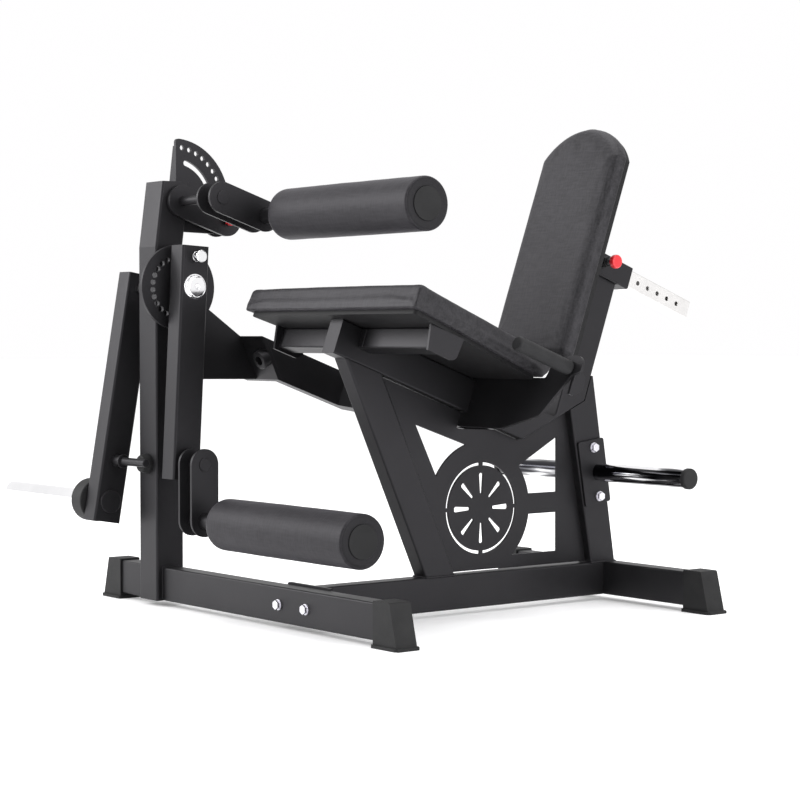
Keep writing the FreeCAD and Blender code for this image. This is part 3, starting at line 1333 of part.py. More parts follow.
def make_thigh_arm():
    tilt = (Vector(-1, 0, 0), S.thigh_angle)

    def draw_long(sketch):
        stadium(sketch, S.thigh_plate_reach, S.thigh_plate_radius)
        circle(sketch, 0, 0, S.thigh_shaft_radius)
        circle(sketch, S.quadrant_holes, 0, S.lever_pin_radius + S.running_gap)

    def draw_round(sketch):
        circle(sketch, S.thigh_plate_reach, 0, S.thigh_plate_radius)
        circle(sketch, S.quadrant_holes, 0, S.quadrant_hole)

    long_plate = plate("thigh_long_plate", "YZ", draw_long, S.thigh_plate)
    move(long_plate, -S.thigh_plate_near - S.thigh_plate)
    round_plate = plate("thigh_round_plate", "YZ", draw_round, S.fork_plate)
    move(round_plate, -S.fork_near - S.fork_plate)
    length = S.fork_near - S.thigh_plate_near - S.thigh_plate
    drum = cylinder("fork_drum", S.thigh_plate_radius, length, -S.fork_near, S.thigh_plate_reach)
    keeper = doc.addObject("Part::Box", "fork_keeper")
    bind(keeper, "Length", length)
    bind(keeper, "Width", 40)
    bind(keeper, "Height", 2 * S.thigh_plate_radius)
    move(keeper, -S.fork_near, S.quadrant_radius + S.fork_gap, -S.thigh_plate_radius)
    block = doc.addObject("Part::MultiCommon", "fork_block")
    block.Shapes = [drum, keeper]
    whole = fuse("thigh_arm_plates", [long_plate, round_plate, block])
    keep("thigh_arm_plates", place(whole, 0, S.thigh_y, S.thigh_z, tilt))
    far = post_far + S.side_gap
    shaft = turned("thigh_shaft", [(-far - 6, 0), (-far - 6, 15), (-far, 15), (-far, S.thigh_shaft_radius),
                                   (-S.link_near_x, S.thigh_shaft_radius), (-S.link_near_x, 14),
                                   (2.5 - S.link_near_x, 14, 1), (2.5 - S.link_near_x, 0)])
    keep("thigh_shaft", place(shaft, 0, S.thigh_y, S.thigh_z))
    near = S.thigh_plate_near
    pin = pull_pin("thigh_pin", -S.quadrant_near + 0.4, -near + S.side_gap, 5 - near, 16 - near,
                   S.lever_pin_radius, S.thigh_knob_radius)
    pin_y = S.thigh_y + S.quadrant_holes * cosine(S.thigh_angle)
    pin_z = S.thigh_z - S.quadrant_holes * sine(S.thigh_angle)
    keep("thigh_pin", place(pin, 0, pin_y, pin_z))
    link_plates("thigh_link_plates", S.thigh_y, S.thigh_z, S.thigh_reach, S.thigh_shaft_radius, S.thigh_angle)
    axle_y = S.thigh_y + S.thigh_reach * cosine(S.thigh_angle)
    axle_z = S.thigh_z - S.thigh_reach * sine(S.thigh_angle)
    make_axle("thigh_axle", axle_y, axle_z)
    make_roller("thigh_roller", axle_y, axle_z)


# ---- build, check and write -------------------------------------------------------------------------------


def check_document():
    """Stop if any object of the document failed or any sub-part has no valid solid."""
    for thing in doc.Objects:
        if "Invalid" in thing.State or "Error" in thing.State:
            raise RuntimeError(f"{thing.Label} is {thing.State}")
    for piece in pieces:
        if piece.Shape.isNull() or not piece.Shape.isValid() or not piece.Shape.Solids:
            raise RuntimeError(f"{piece.Label} has no valid solid")


def write_steps():
    os.makedirs("parts", exist_ok=True)
    for piece in pieces:
        piece.Shape.exportStep(os.path.join("parts", piece.Label + ".step"))


make_cross_beams()
make_base_beam()
make_base_bolts()
make_feet()
make_main_post()
make_bearings()
make_arm_box()
make_arm_end_plate()
make_arm_side_tube()
make_arm_inner_tube()
make_front_seat_post()
make_seat_rail()
make_back_post()
make_rear_upright()
make_seat_cross_bar()
make_seat()
make_side_panel()
make_wing_plate()
make_handles()
make_back_sleeve()
make_slide()
make_back_pad()
make_back_pin()
make_pegs()
make_quadrant()
make_stop_bumper()
make_main_shaft()
make_index_disc()
make_weight_arm()
make_weight_sleeve()
make_lever()
make_ankle_link()
make_thigh_arm()
doc.recompute()
check_document()
write_steps()
whole_box = FreeCAD.BoundBox()
for piece in pieces:
    whole_box.add(piece.Shape.BoundBox)
print(len(pieces), "pieces", whole_box)
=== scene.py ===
"""Looks for the plate-loaded leg extension machine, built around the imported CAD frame."""

import math

import bmesh
import bpy
import numpy as np
from mathutils import Matrix, Vector, noise


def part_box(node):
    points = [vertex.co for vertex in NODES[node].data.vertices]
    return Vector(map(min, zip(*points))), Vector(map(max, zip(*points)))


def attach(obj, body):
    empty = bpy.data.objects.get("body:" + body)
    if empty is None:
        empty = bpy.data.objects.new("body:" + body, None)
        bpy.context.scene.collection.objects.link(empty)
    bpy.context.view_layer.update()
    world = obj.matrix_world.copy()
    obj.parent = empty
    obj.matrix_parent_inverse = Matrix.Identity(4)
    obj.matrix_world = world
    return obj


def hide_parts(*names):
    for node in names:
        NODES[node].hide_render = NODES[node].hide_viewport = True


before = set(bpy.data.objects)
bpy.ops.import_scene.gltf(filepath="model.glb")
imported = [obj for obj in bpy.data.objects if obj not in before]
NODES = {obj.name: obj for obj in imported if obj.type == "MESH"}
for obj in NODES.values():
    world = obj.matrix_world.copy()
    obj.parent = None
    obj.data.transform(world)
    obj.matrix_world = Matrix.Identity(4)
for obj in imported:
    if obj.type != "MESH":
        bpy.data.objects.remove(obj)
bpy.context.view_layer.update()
MM = 0.001

# ---- the machine's own frames, in metres -------------------------------------------------------------------

ORIGIN = Vector((342.5, -480.97, 0)) * MM
SLOPE = math.radians(20)
SEAT = Matrix((
    (1, 0, 0, ORIGIN.x),
    (0, math.cos(SLOPE), math.sin(SLOPE), ORIGIN.y + 108.4 * MM),
    (0, -math.sin(SLOPE), math.cos(SLOPE), 598 * MM),
    (0, 0, 0, 1),
))


def vertices_of(node):
    return np.array([v.co for v in NODES[node].data.vertices])


def slope_box(node):
    """Lowest and highest corner of a CAD node in the seat's sloping frame."""
    turned = np.array(SEAT.inverted())
    points = vertices_of(node) @ turned[:3, :3].T + turned[:3, 3]
    return points.min(axis=0), points.max(axis=0)


# ---- materials ---------------------------------------------------------------------------------------------


class Finish:
    """A small builder of one procedural material about a Principled shader."""

    def __init__(self, name, **sockets):
        self.material = bpy.data.materials.new(name)
        self.material.use_nodes = True
        self.tree = self.material.node_tree
        self.shader = self.tree.nodes["Principled BSDF"]
        self.place = self.tree.nodes.new("ShaderNodeTexCoord").outputs["Object"]
        for socket, value in sockets.items():
            self.shader.inputs[socket.replace("_", " ")].default_value = value

    def add(self, kind, settings=None, **inputs):
        node = self.tree.nodes.new("ShaderNode" + kind)
        for key, value in (settings or {}).items():
            setattr(node, key, value)
        for key, value in inputs.items():
            socket = node.inputs[key.replace("_", " ")]
            if isinstance(value, bpy.types.NodeSocket):
                self.tree.links.new(value, socket)
            else:
                socket.default_value = value
        return node

    def noise(self, scale, detail=2.0, stretch=None, tilt=0.0, roughness=0.5):
        """A noise's value; stretch scales its three axes, tilt turns them with the slope."""
        place = self.place
        if stretch:
            place = self.add("Mapping", Vector=place, Scale=stretch, Rotation=(tilt, 0, 0)).outputs["Vector"]
        node = self.add("TexNoise", Vector=place, Scale=scale, Detail=detail, Roughness=roughness)
        return node.outputs["Fac"]

    def math(self, operation, first, second):
        node = self.tree.nodes.new("ShaderNodeMath")
        node.operation = operation
        for socket, value in zip(node.inputs, (first, second)):
            if isinstance(value, bpy.types.NodeSocket):
                self.tree.links.new(value, socket)
            else:
                socket.default_value = value
        return node.outputs["Value"]

    def ramp(self, value, stops):
        """Colours or greys along a value."""
        node = self.add("ValToRGB", Fac=value)
        elements = node.color_ramp.elements
        while len(elements) < len(stops):
            elements.new(0.5)
        for element, (position, colour) in zip(elements, stops):
            element.position = position
            element.color = (*colour, 1) if len(colour) == 3 else (colour[0],) * 3 + (1,)
        return node.outputs["Color"]

    def colour(self, socket):
        self.tree.links.new(socket, self.shader.inputs["Base Color"])
        return self

    def rough(self, value, low, high):
        spread = self.math("MULTIPLY_ADD", value, high - low)
        spread.node.inputs[2].default_value = low
        self.tree.links.new(spread, self.shader.inputs["Roughness"])
        return self

    def soft_edges(self, radius):
        """Shade sharp edges as if they were broken by this radius."""
        node = self.add("Bevel", {"samples": 6}, Radius=radius)
        self.tree.links.new(node.outputs["Normal"], self.shader.inputs["Normal"])
        return self

    def bump(self, height, distance, strength=1.0):
        """Bumps are chained, so that a material can have a coarse and a fine one."""
        node = self.add("Bump", Height=height, Distance=distance, Strength=strength)
        before = self.shader.inputs["Normal"].links
        if before:
            self.tree.links.new(before[0].from_socket, node.inputs["Normal"])
        self.tree.links.new(node.outputs["Normal"], self.shader.inputs["Normal"])
        return self


# painted reflection colour: this lavender tints the specular reflections of paint and vinyl in place of a
# lavender studio light
PAINTED_LAVENDER_REFLECTION = (0.93, 0.90, 0.97, 1)


def powder_coat(name, dark, light, low=0.36, high=0.5):
    """Satin powder coat: a fine orange peel and a slow drift of sheen."""
    # the lavender specular tint is a painted reflection colour
    f = Finish(name, Specular_IOR_Level=0.27, Specular_Tint=PAINTED_LAVENDER_REFLECTION)
    f.soft_edges(1.1 * MM)
    drift = f.noise(5.0, 3.0)
    speck = f.noise(620.0, 2.0)
    f.colour(f.ramp(f.math("ADD", f.math("MULTIPLY", drift, 0.7), f.math("MULTIPLY", speck, 0.3)),
                    [(0.35, dark), (0.65, light)]))
    f.rough(f.noise(9.0, 4.0), low, high)
    return f.bump(speck, 0.00022, 0.35).bump(f.noise(170.0, 1.0), 0.0005, 0.12).material


def vinyl(name, dark, light, axes, tilt, shine=0.33, low=0.46, high=0.6):
    """Upholstery vinyl with a linen-like print: short threads across and along."""
    # painted reflection colour: the lavender specular and sheen tints stand in for the studio light reflected
    # at grazing angles
    f = Finish(name, Specular_IOR_Level=shine, Specular_Tint=PAINTED_LAVENDER_REFLECTION, Sheen_Weight=0.05,
               Sheen_Roughness=0.45, Sheen_Tint=(0.72, 0.66, 0.8, 1))
    across = f.noise(1.0, 2.0, axes[0], tilt)
    along = f.noise(1.0, 2.0, axes[1], tilt)
    threads = f.math("ADD", f.math("MULTIPLY", across, 0.5), f.math("MULTIPLY", along, 0.5))
    drift = f.noise(7.0, 3.0)
    mixed = f.math("ADD", f.math("MULTIPLY", threads, 0.8), f.math("MULTIPLY", drift, 0.2))
    f.colour(f.ramp(mixed, [(0.38, dark), (0.62, light)]))
    f.rough(threads, low, high)
    return f.bump(threads, 0.0008, 0.7).bump(f.noise(1500.0, 2.0), 0.0001, 0.4).material


def rubber(name, dark, light, grain=900.0):
    f = Finish(name, Specular_IOR_Level=0.3)
    speck = f.noise(grain, 3.0)
    f.colour(f.ramp(f.noise(30.0, 4.0), [(0.3, dark), (0.7, light)]))
    f.rough(speck, 0.55, 0.75)
    return f.bump(speck, 0.00025, 0.5).material


def plastic(name, dark, light):
    f = Finish(name, Specular_IOR_Level=0.2)
    speck = f.noise(1200.0, 2.0)
    f.colour(f.ramp(f.noise(18.0, 3.0), [(0.3, dark), (0.7, light)]))
    f.rough(speck, 0.46, 0.58)
    return f.bump(speck, 0.00012, 0.4).material


def board(name):
    """Black-stained plywood panel behind a pad: long grain under a matt lacquer."""
    f = Finish(name, Specular_IOR_Level=0.18)
    grain = f.noise(1.0, 5.0, (14, 260, 260), SLOPE, 0.65)
    f.colour(f.ramp(grain, [(0.35, (0.005, 0.005, 0.0055)), (0.65, (0.014, 0.0135, 0.0145))]))
    f.rough(grain, 0.5, 0.66)
    return f.bump(grain, 0.0003, 0.4).material


def metal(name, dark, light, low, high, scratch=(40, 900, 900), depth=0.00004):
    """Plated or turned metal with faint machining lines about the X axis."""
    f = Finish(name, Metallic=1.0)
    lines = f.noise(1.0, 3.0, scratch)
    f.colour(f.ramp(f.noise(14.0, 4.0), [(0.3, dark), (0.7, light)]))
    half_lines = f.math("MULTIPLY", lines, 0.5)
    half_patches = f.math("MULTIPLY", f.noise(25.0, 4.0), 0.5)
    f.rough(f.math("ADD", half_lines, half_patches), low, high)
    return f.bump(lines, depth, 0.3).material


def painted_reflection_chrome(name):
    """Mirror chrome of the plate pegs with painted reflections: long dark and bright streaks along the bar,
    painted into the base colour.
    """
    f = Finish(name, Metallic=1.0)
    # painted reflections: these dark and bright bands of base colour stand in for the room reflected along
    # the bar
    painted_reflection = f.noise(1.0, 1.5, (7, 52, 52))
    f.colour(f.ramp(painted_reflection, [(0.46, (0.03, 0.03, 0.035)), (0.53, (0.22, 0.22, 0.23)),
                             (0.59, (0.90, 0.90, 0.91))]))
    f.rough(f.noise(30.0, 3.0), 0.05, 0.12)
    return f.bump(f.noise(1.0, 3.0, (40, 900, 900)), 0.00004, 0.3).material


def knob(name, near_x):
    """A red moulded knob on a plated pin; the colour changes at the knob's own back face."""
    f = Finish(name, Specular_IOR_Level=0.5)
    x = f.add("SeparateXYZ", Vector=f.place).outputs["X"]
    on_knob = f.math("GREATER_THAN", x, near_x)
    speck = f.noise(1100.0, 2.0)
    red = f.ramp(f.noise(60.0, 3.0), [(0.3, (0.56, 0.012, 0.020)), (0.7, (0.66, 0.022, 0.030))])
    steel = f.ramp(speck, [(0.3, (0.020, 0.020, 0.022)), (0.7, (0.05, 0.05, 0.055))])
    mixed = f.add("Mix", {"data_type": "RGBA"}, Factor=on_knob)
    f.tree.links.new(steel, mixed.inputs[6])
    f.tree.links.new(red, mixed.inputs[7])
    f.colour(mixed.outputs[2])
    f.rough(speck, 0.28, 0.40)
    return f.bump(speck, 0.0001, 0.3).material


PAINT = powder_coat("frame_paint", (0.0055, 0.0055, 0.0060), (0.0100, 0.0098, 0.0106))
LINEN = [(38, 270, 270), (330, 50, 50)]
PAD = vinyl("pad_vinyl", (0.0050, 0.0050, 0.0053), (0.0225, 0.0221, 0.0236), LINEN, SLOPE, 0.28)
ROLLER = vinyl("roller_vinyl", (0.0060, 0.0058, 0.0066), (0.019, 0.0183, 0.0202), LINEN, 0.0, 0.22)
BLACK = vinyl("roller_end_vinyl", (0.0045, 0.0045, 0.005), (0.009, 0.009, 0.0095),
              [(500, 120, 500), (500, 500, 120)], 0.0, 0.2)
RUBBER = rubber("black_rubber", (0.005, 0.005, 0.0055), (0.010, 0.010, 0.0105))
GRIP = rubber("grip_rubber", (0.007, 0.007, 0.008), (0.013, 0.013, 0.014), 500.0)
PLASTIC = plastic("black_plastic", (0.006, 0.006, 0.0065), (0.011, 0.011, 0.0115))
BOARD = board("board_black")
CHROME = metal("chrome_plate", (0.86, 0.86, 0.87), (0.93, 0.93, 0.94), 0.05, 0.12)
BRIGHT = metal("slide_plate", (0.70, 0.69, 0.68), (0.76, 0.75, 0.74), 0.30, 0.42, (900, 30, 900))
ZINC = metal("zinc_plate", (0.62, 0.61, 0.66), (0.78, 0.77, 0.81), 0.24, 0.38, (500, 500, 500))
# the peg material carries painted reflections as streaks in its colour
PEG_PAINTED_REFLECTIONS = painted_reflection_chrome("peg_chrome_painted_reflections")
STEEL = metal("bearing_steel", (0.42, 0.42, 0.43), (0.6, 0.6, 0.61), 0.18, 0.32)
SLOT_FINISH = {"frame_paint": PAINT, "pad_vinyl": PAD, "roller_foam": ROLLER, "black_rubber": RUBBER,
               "black_plastic": PLASTIC, "board_black": BOARD, "chrome_plate": CHROME, "zinc_plate": ZINC,
               "bearing_steel": STEEL}
BACK_KNOB = knob("back_pin_red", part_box("sleeve_pin_barrel")[1].x + 16.6 * MM)
THIGH_KNOB = knob("thigh_pin_red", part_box("thigh_arm_plates")[1].x + 5.6 * MM)
NODE_FINISH = {"back_pin": BACK_KNOB, "thigh_pin": THIGH_KNOB, "handle_grips": GRIP, "slide_tube": BRIGHT,
               "slide_tube_cap": BRIGHT, "storage_pegs": PEG_PAINTED_REFLECTIONS, "peg_caps": RUBBER}

# ---- finishing the CAD nodes -------------------------------------------------------------------------------


def finish_cad_nodes():
    for name, node in NODES.items():
        slot = node.data.materials[0].name.split(".")[0] if node.data.materials else ""
        finish = NODE_FINISH.get(name) or SLOT_FINISH.get(slot, PAINT)
        node.data.materials.clear()
        node.data.materials.append(finish)


finish_cad_nodes()

# ---- mesh helpers ------------------------------------------------------------------------------------------


def new_piece(name, mesh_or_bmesh, material, body, matrix=None):
    """An object of the machine from a mesh; it rides on a CAD body."""
    if isinstance(mesh_or_bmesh, bmesh.types.BMesh):
        bmesh.ops.recalc_face_normals(mesh_or_bmesh, faces=mesh_or_bmesh.faces)
        mesh = bpy.data.meshes.new(name)
        mesh_or_bmesh.to_mesh(mesh)
        mesh_or_bmesh.free()
    else:
        mesh = mesh_or_bmesh
    if matrix:
        mesh.transform(matrix)
    mesh.polygons.foreach_set("use_smooth", [True] * len(mesh.polygons))
    mesh.materials.clear()
    mesh.materials.append(material)
    piece = bpy.data.objects.new(name, mesh)
    bpy.context.scene.collection.objects.link(piece)
    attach(piece, body)
    return piece


def lathe(profile, segments):
    """A bmesh turned about the X axis from (x, radius) points."""
    made = bmesh.new()
    rings = []
    for x, radius in profile:
        angles = (2 * math.pi * i / segments for i in range(segments))
        rings.append([made.verts.new((x, radius * math.cos(t), radius * math.sin(t))) for t in angles])
    for first, second in zip(rings, rings[1:]):
        for i in range(segments):
            j = (i + 1) % segments
            made.faces.new((first[i], first[j], second[j], second[i]))
    return made


def arc_profile(x, radius, round_by, start, end, steps):
    """Points of a profile's rounded corner about (x, radius), from one angle to another in degrees."""
    angles = (math.radians(start + (end - start) * i / steps) for i in range(steps + 1))
    return [(x + round_by * math.cos(t), radius + round_by * math.sin(t)) for t in angles]


def rounded_outline(corners, step=0.006):
    """Points round a convex outline; each corner is (x, y, radius), anticlockwise."""
    points = []
    count = len(corners)
    for i, (x, y, radius) in enumerate(corners):
        here = Vector((x, y))
        back = (Vector(corners[i - 1][:2]) - here).normalized()
        ahead = (Vector(corners[(i + 1) % count][:2]) - here).normalized()
        half = back.angle(ahead) / 2
        centre = here + (back + ahead).normalized() * (radius / math.sin(half))
        first = here + back * (radius / math.tan(half)) - centre
        sweep = math.pi - 2 * half
        steps = max(2, round(radius * sweep / step))
        for k in range(steps + 1):
            turned = first.copy()
            turned.rotate(Matrix.Rotation(sweep * k / steps, 2))
            points.append(centre + turned)
    return points


def inset(points, amount):
    """The outline moved inwards along its own normals."""
    count = len(points)
    moved = []
    for i, point in enumerate(points):
        tangent = points[(i + 1) % count] - points[i - 1]
        normal = Vector((-tangent.y, tangent.x)).normalized()
        moved.append(point + normal * amount)
    return moved


def pad_block(points, thickness, front_round, back_round):
    """A closed block on an outline: z 0 is the face on the board, z thickness the face of the pad."""
    levels = [(0, back_round)]
    for i in range(1, 5):
        t = math.radians(22.5 * i)
        levels.append((back_round * (1 - math.cos(t)), back_round * (1 - math.sin(t))))
    for i in range(7):
        t = math.radians(15 * i)
        levels.append((thickness - front_round * (1 - math.sin(t)), front_round * (1 - math.cos(t))))
    made = bmesh.new()
    rings = [[made.verts.new((p.x, p.y, z)) for p in inset(points, by)] for z, by in levels]
    count = len(points)
    for low, high in zip(rings, rings[1:]):
        for i in range(count):
            j = (i + 1) % count
            made.faces.new((low[i], low[j], high[j], high[i]))
    made.faces.new(rings[0][::-1])
    made.faces.new(rings[-1])
    return made


def evaluated_mesh(piece):
    depsgraph = bpy.context.evaluated_depsgraph_get()
    return bpy.data.meshes.new_from_object(piece.evaluated_get(depsgraph))


def coordinates(mesh):
    values = np.zeros(len(mesh.vertices) * 3)
    mesh.vertices.foreach_get("co", values)
    return values.reshape(-1, 3)


VOXEL = 4.5 * MM
FRAMES = 20
PRESSURE = 4.0
STRETCH_STIFFNESS = 25
SHEAR_STIFFNESS = 12
BEND_STIFFNESS = 1.5
VERTEX_MASS = 0.3


def stuff(block, cap, held_below):
    """Remesh a block evenly and fill it with air as cloth; what lies on the board stays flat."""
    mesh = bpy.data.meshes.new("stuffing")
    bmesh.ops.recalc_face_normals(block, faces=block.faces)
    block.to_mesh(mesh)
    block.free()
    work = bpy.data.objects.new("stuffing", mesh)
    bpy.context.scene.collection.objects.link(work)
    remesh = work.modifiers.new("remesh", "REMESH")
    remesh.mode = "VOXEL"
    remesh.voxel_size = VOXEL
    work.data = evaluated_mesh(work)
    work.modifiers.clear()
    start = coordinates(work.data)
    held = work.vertex_groups.new(name="held")
    held.add([i for i, p in enumerate(start) if p[2] < held_below], 1.0, "REPLACE")
    cloth = work.modifiers.new("cloth", "CLOTH")
    cloth.settings.use_pressure = True
    cloth.settings.uniform_pressure_force = PRESSURE
    cloth.settings.quality = 5
    cloth.settings.mass = VERTEX_MASS
    cloth.settings.tension_stiffness = STRETCH_STIFFNESS
    cloth.settings.compression_stiffness = STRETCH_STIFFNESS
    cloth.settings.shear_stiffness = SHEAR_STIFFNESS
    cloth.settings.bending_stiffness = BEND_STIFFNESS
    cloth.settings.vertex_group_mass = "held"
    cloth.settings.effector_weights.gravity = 0
    cloth.point_cache.frame_start = 1
    cloth.point_cache.frame_end = FRAMES
    for step in range(1, FRAMES + 1):
        bpy.context.scene.frame_set(step)
    swollen = evaluated_mesh(work)
    moved = coordinates(swollen) - start
    work.modifiers.clear()
    bpy.context.scene.frame_set(1)
    length = np.linalg.norm(moved, axis=1, keepdims=True)
    moved *= np.minimum(1.0, cap / np.maximum(length, 1e-9))
    made = work.data.copy()
    made.vertices.foreach_set("co", (start + moved).ravel())
    bpy.data.objects.remove(work)
    return made


def subdivide(piece):
    level = piece.modifiers.new("subdivision", "SUBSURF")
    level.levels = level.render_levels = 1


# ---- seat and back pads ------------------------------------------------------------------------------------


def shape_pad(mesh, shape):
    """Move every point of a mesh by a function of its place."""
    for vertex in mesh.vertices:
        vertex.co = shape(vertex.co)


def seamed(p, centre, seam_height):
    """A point of a pad, drawn in towards the centre where the cover's seam runs."""
    away = abs(p.z - seam_height)
    if away > SEAM_REACH:
        return p.copy()
    return p + (centre - p).normalized() * SEAM_DEPTH * math.exp(-(away / SEAM_WIDTH) ** 2)


# how far a pad stands inside its CAD body, below what height it is held, and how far it puffs and spreads
PAD_SWELL = 0.5 * MM
PAD_HELD = 7 * MM
PAD_PUFF = 1.7 * MM
PAD_SPREAD = 2 * MM
FOOT_SPREAD = 1.4
RIPPLE = 0.35 * MM
BACK_RIPPLE = 0.3 * MM
RIPPLE_FROM = 12 * MM
SEAM_DEPTH = 1.6 * MM
SEAM_WIDTH = 1.8 * MM
SEAM_REACH = 6 * MM
SEAT_SEAM = 7 * MM
SEAT_CORNER = 7 * MM
SEAT_ROUND = 7 * MM
SEAT_FOOT_ROUND = 1 * MM
SEAT_CROWN = 2 * MM
SEAT_OVERHANG = 38 * MM
SEAT_REAR_HALF = 216 * MM
BACK_SEAM = 6 * MM
BACK_CORNER = 16 * MM
BACK_SHOULDER = 0.540
BACK_ROUND = 22 * MM
BACK_FOOT_ROUND = 2 * MM


def make_seat_cushion():
    """The seat's cover: a taut block with small corners, a seam near its foot and a soft crown."""
    low, high = slope_box("seat_cushion")
    front = high[0] - PAD_SWELL
    start, end = low[1] + PAD_SWELL, high[1] - SEAT_OVERHANG - PAD_SWELL
    rear = SEAT_REAR_HALF - PAD_SWELL
    corners = [(-front, start, SEAT_CORNER), (front, start, SEAT_CORNER), (rear, end, SEAT_CORNER),
               (-rear, end, SEAT_CORNER)]
    thickness = high[2] - low[2]
    block = pad_block(rounded_outline(corners), thickness, SEAT_ROUND, SEAT_FOOT_ROUND)
    mesh = stuff(block, PAD_PUFF, PAD_HELD)

    def shape(p):
        crown = SEAT_CROWN * max(0.0, 1 - (p.x / front) ** 4)
        ripple = RIPPLE * noise.noise(p * 22)
        rise = crown + ripple if p.z > RIPPLE_FROM else 0
        lean = SEAT_OVERHANG * p.z / thickness * max(0.0, (p.y - start) / (end - start)) ** 3
        foot = PAD_SPREAD * (FOOT_SPREAD - p.z / thickness)
        spread = Vector((foot * p.x / front, foot * (2 * (p.y - start) / (end - start) - 1), 0))
        return seamed(p, Vector((0, (start + end) / 2, p.z)), SEAT_SEAM) + Vector((0, lean, rise)) + spread

    shape_pad(mesh, shape)
    mesh.transform(Matrix.Translation((0, 0, low[2])))
    piece = new_piece("seat_pad", mesh, PAD, "frame", matrix=SEAT)
    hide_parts("seat_cushion")
    subdivide(piece)


def back_outline(half, bottom, top):
    """The back pad's outline: a straight foot with round corners, upright sides and an arched top."""
    rise = top - BACK_SHOULDER
    reach = (half * half + rise * rise) / (2 * rise)
    spread = math.asin(half / reach)
    arch = [Vector((reach * math.sin(t), top - reach + reach * math.cos(t)))
            for t in np.linspace(spread, -spread, 61)]
    corner = BACK_CORNER
    foot = []
    for side, start in ((-1, math.pi), (1, 1.5 * math.pi)):
        centre = Vector((side * (half - corner), bottom + corner))
        angles = (start + math.pi / 2 * i / 5 for i in range(6))
        foot += [centre + Vector((corner * math.cos(t), corner * math.sin(t))) for t in angles]
    rows = np.linspace(bottom + corner, BACK_SHOULDER, 50)[1:-1]
    right = [Vector((half, y)) for y in rows]
    left = [Vector((-half, y)) for y in rows[::-1]]
    return foot + right + arch + left


def make_back_cushion():
    """The back pad's cover: widely rounded edges, a seam by the board and a shallow crown."""
    low, high = slope_box("back_cushion")
    half = high[0] - PAD_SWELL
    outline = back_outline(half, low[2] + PAD_SWELL, high[2] - PAD_SWELL)
    thickness = high[1] - low[1] - PAD_SWELL
    block = pad_block(outline, thickness, BACK_ROUND, BACK_FOOT_ROUND)
    mesh = stuff(block, PAD_PUFF, PAD_HELD)
    middle = (low[2] + high[2]) / 2
    tall = high[2] - middle

    def shape(p):
        ripple = BACK_RIPPLE * noise.noise(p * 20) if p.z > RIPPLE_FROM else 0
        spread = Vector((PAD_SPREAD * p.x / half, PAD_SPREAD * (p.y - middle) / tall, ripple))
        return seamed(p, Vector((0, middle, p.z)), BACK_SEAM) + spread

    shape_pad(mesh, shape)
    upright = Matrix(((1, 0, 0, 0), (0, 0, -1, high[1]), (0, 1, 0, 0), (0, 0, 0, 1)))
    piece = new_piece("back_pad", mesh, PAD, "back_rest", matrix=SEAT @ upright)
    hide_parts("back_cushion")
    subdivide(piece)


make_seat_cushion()
make_back_cushion()

# ---- rollers -----------------------------------------------------------------------------------------------


ROLLER_SEGMENTS = 112
ROLLER_BORE = 24.9 * MM
ROLLER_SLACK = 0.6 * MM
FAR_ROUND = 19 * MM
NEAR_ROUND = 4.5 * MM
ROLLER_BELLY = 0.5 * MM


def make_roller(name, body):
    """Foam roller: a vinyl tube with a soft far end, and a flat sewn disc on its near end."""
    low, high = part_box(name + "_foam")
    radius = (high.z - low.z) / 2 - ROLLER_SLACK
    start, end = low.x, high.x
    profile = [(start + 1 * MM, ROLLER_BORE), (start + 0.2 * MM, ROLLER_BORE + 8 * MM)]
    profile += arc_profile(start + FAR_ROUND, radius - FAR_ROUND, FAR_ROUND, 180, 90, 10)
    straight = np.linspace(start + 24 * MM, end - 9 * MM, 60)
    length = end - start
    profile += [(x, radius + ROLLER_BELLY * math.sin(math.pi * (x - start) / length)) for x in straight]
    profile += arc_profile(end - 5.5 * MM, radius - NEAR_ROUND, NEAR_ROUND, 90, 12, 5)
    edge = radius - 4.2 * MM
    stitched = [(end - 0.9 * MM, edge), (end - 1.6 * MM, edge - 0.9 * MM), (end - 0.9 * MM, edge - 1.9 * MM),
                (end - 0.2 * MM, edge - 4 * MM)]
    ring_groove = [(end - 0.2 * MM, 32.5 * MM), (end - 1.4 * MM, 31.6 * MM), (end - 1.4 * MM, 30.2 * MM),
                   (end - 0.3 * MM, 29.4 * MM)]
    disc = [(end - 4 * MM, edge + 1.2 * MM), *stitched, *ring_groove, (end - 0.5 * MM, ROLLER_BORE),
            (end - 5 * MM, ROLLER_BORE)]
    middle = Matrix.Translation((0, (low.y + high.y) / 2, (low.z + high.z) / 2))
    sleeve = lathe([*profile, (end - 3 * MM, edge - 1 * MM)], ROLLER_SEGMENTS)
    for vertex in sleeve.verts:
        swell = 0.35 * MM * noise.noise(vertex.co * 18) + 0.12 * MM * noise.noise(vertex.co * 60)
        out = Vector((0, vertex.co.y, vertex.co.z)).normalized()
        if start + 4 * MM < vertex.co.x < end - 3 * MM:
            vertex.co += out * swell
    tube = new_piece(name + "_cover", sleeve, ROLLER, body, matrix=middle)
    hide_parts(name + "_foam")
    subdivide(tube)
    face = new_piece(name + "_end", lathe(disc, ROLLER_SEGMENTS), BLACK, body, matrix=middle)
    subdivide(face)


make_roller("ankle_roller", "ankle_roller")
make_roller("thigh_roller", "thigh_roller")

# ---- weld beads --------------------------------------------------------------------------------------------


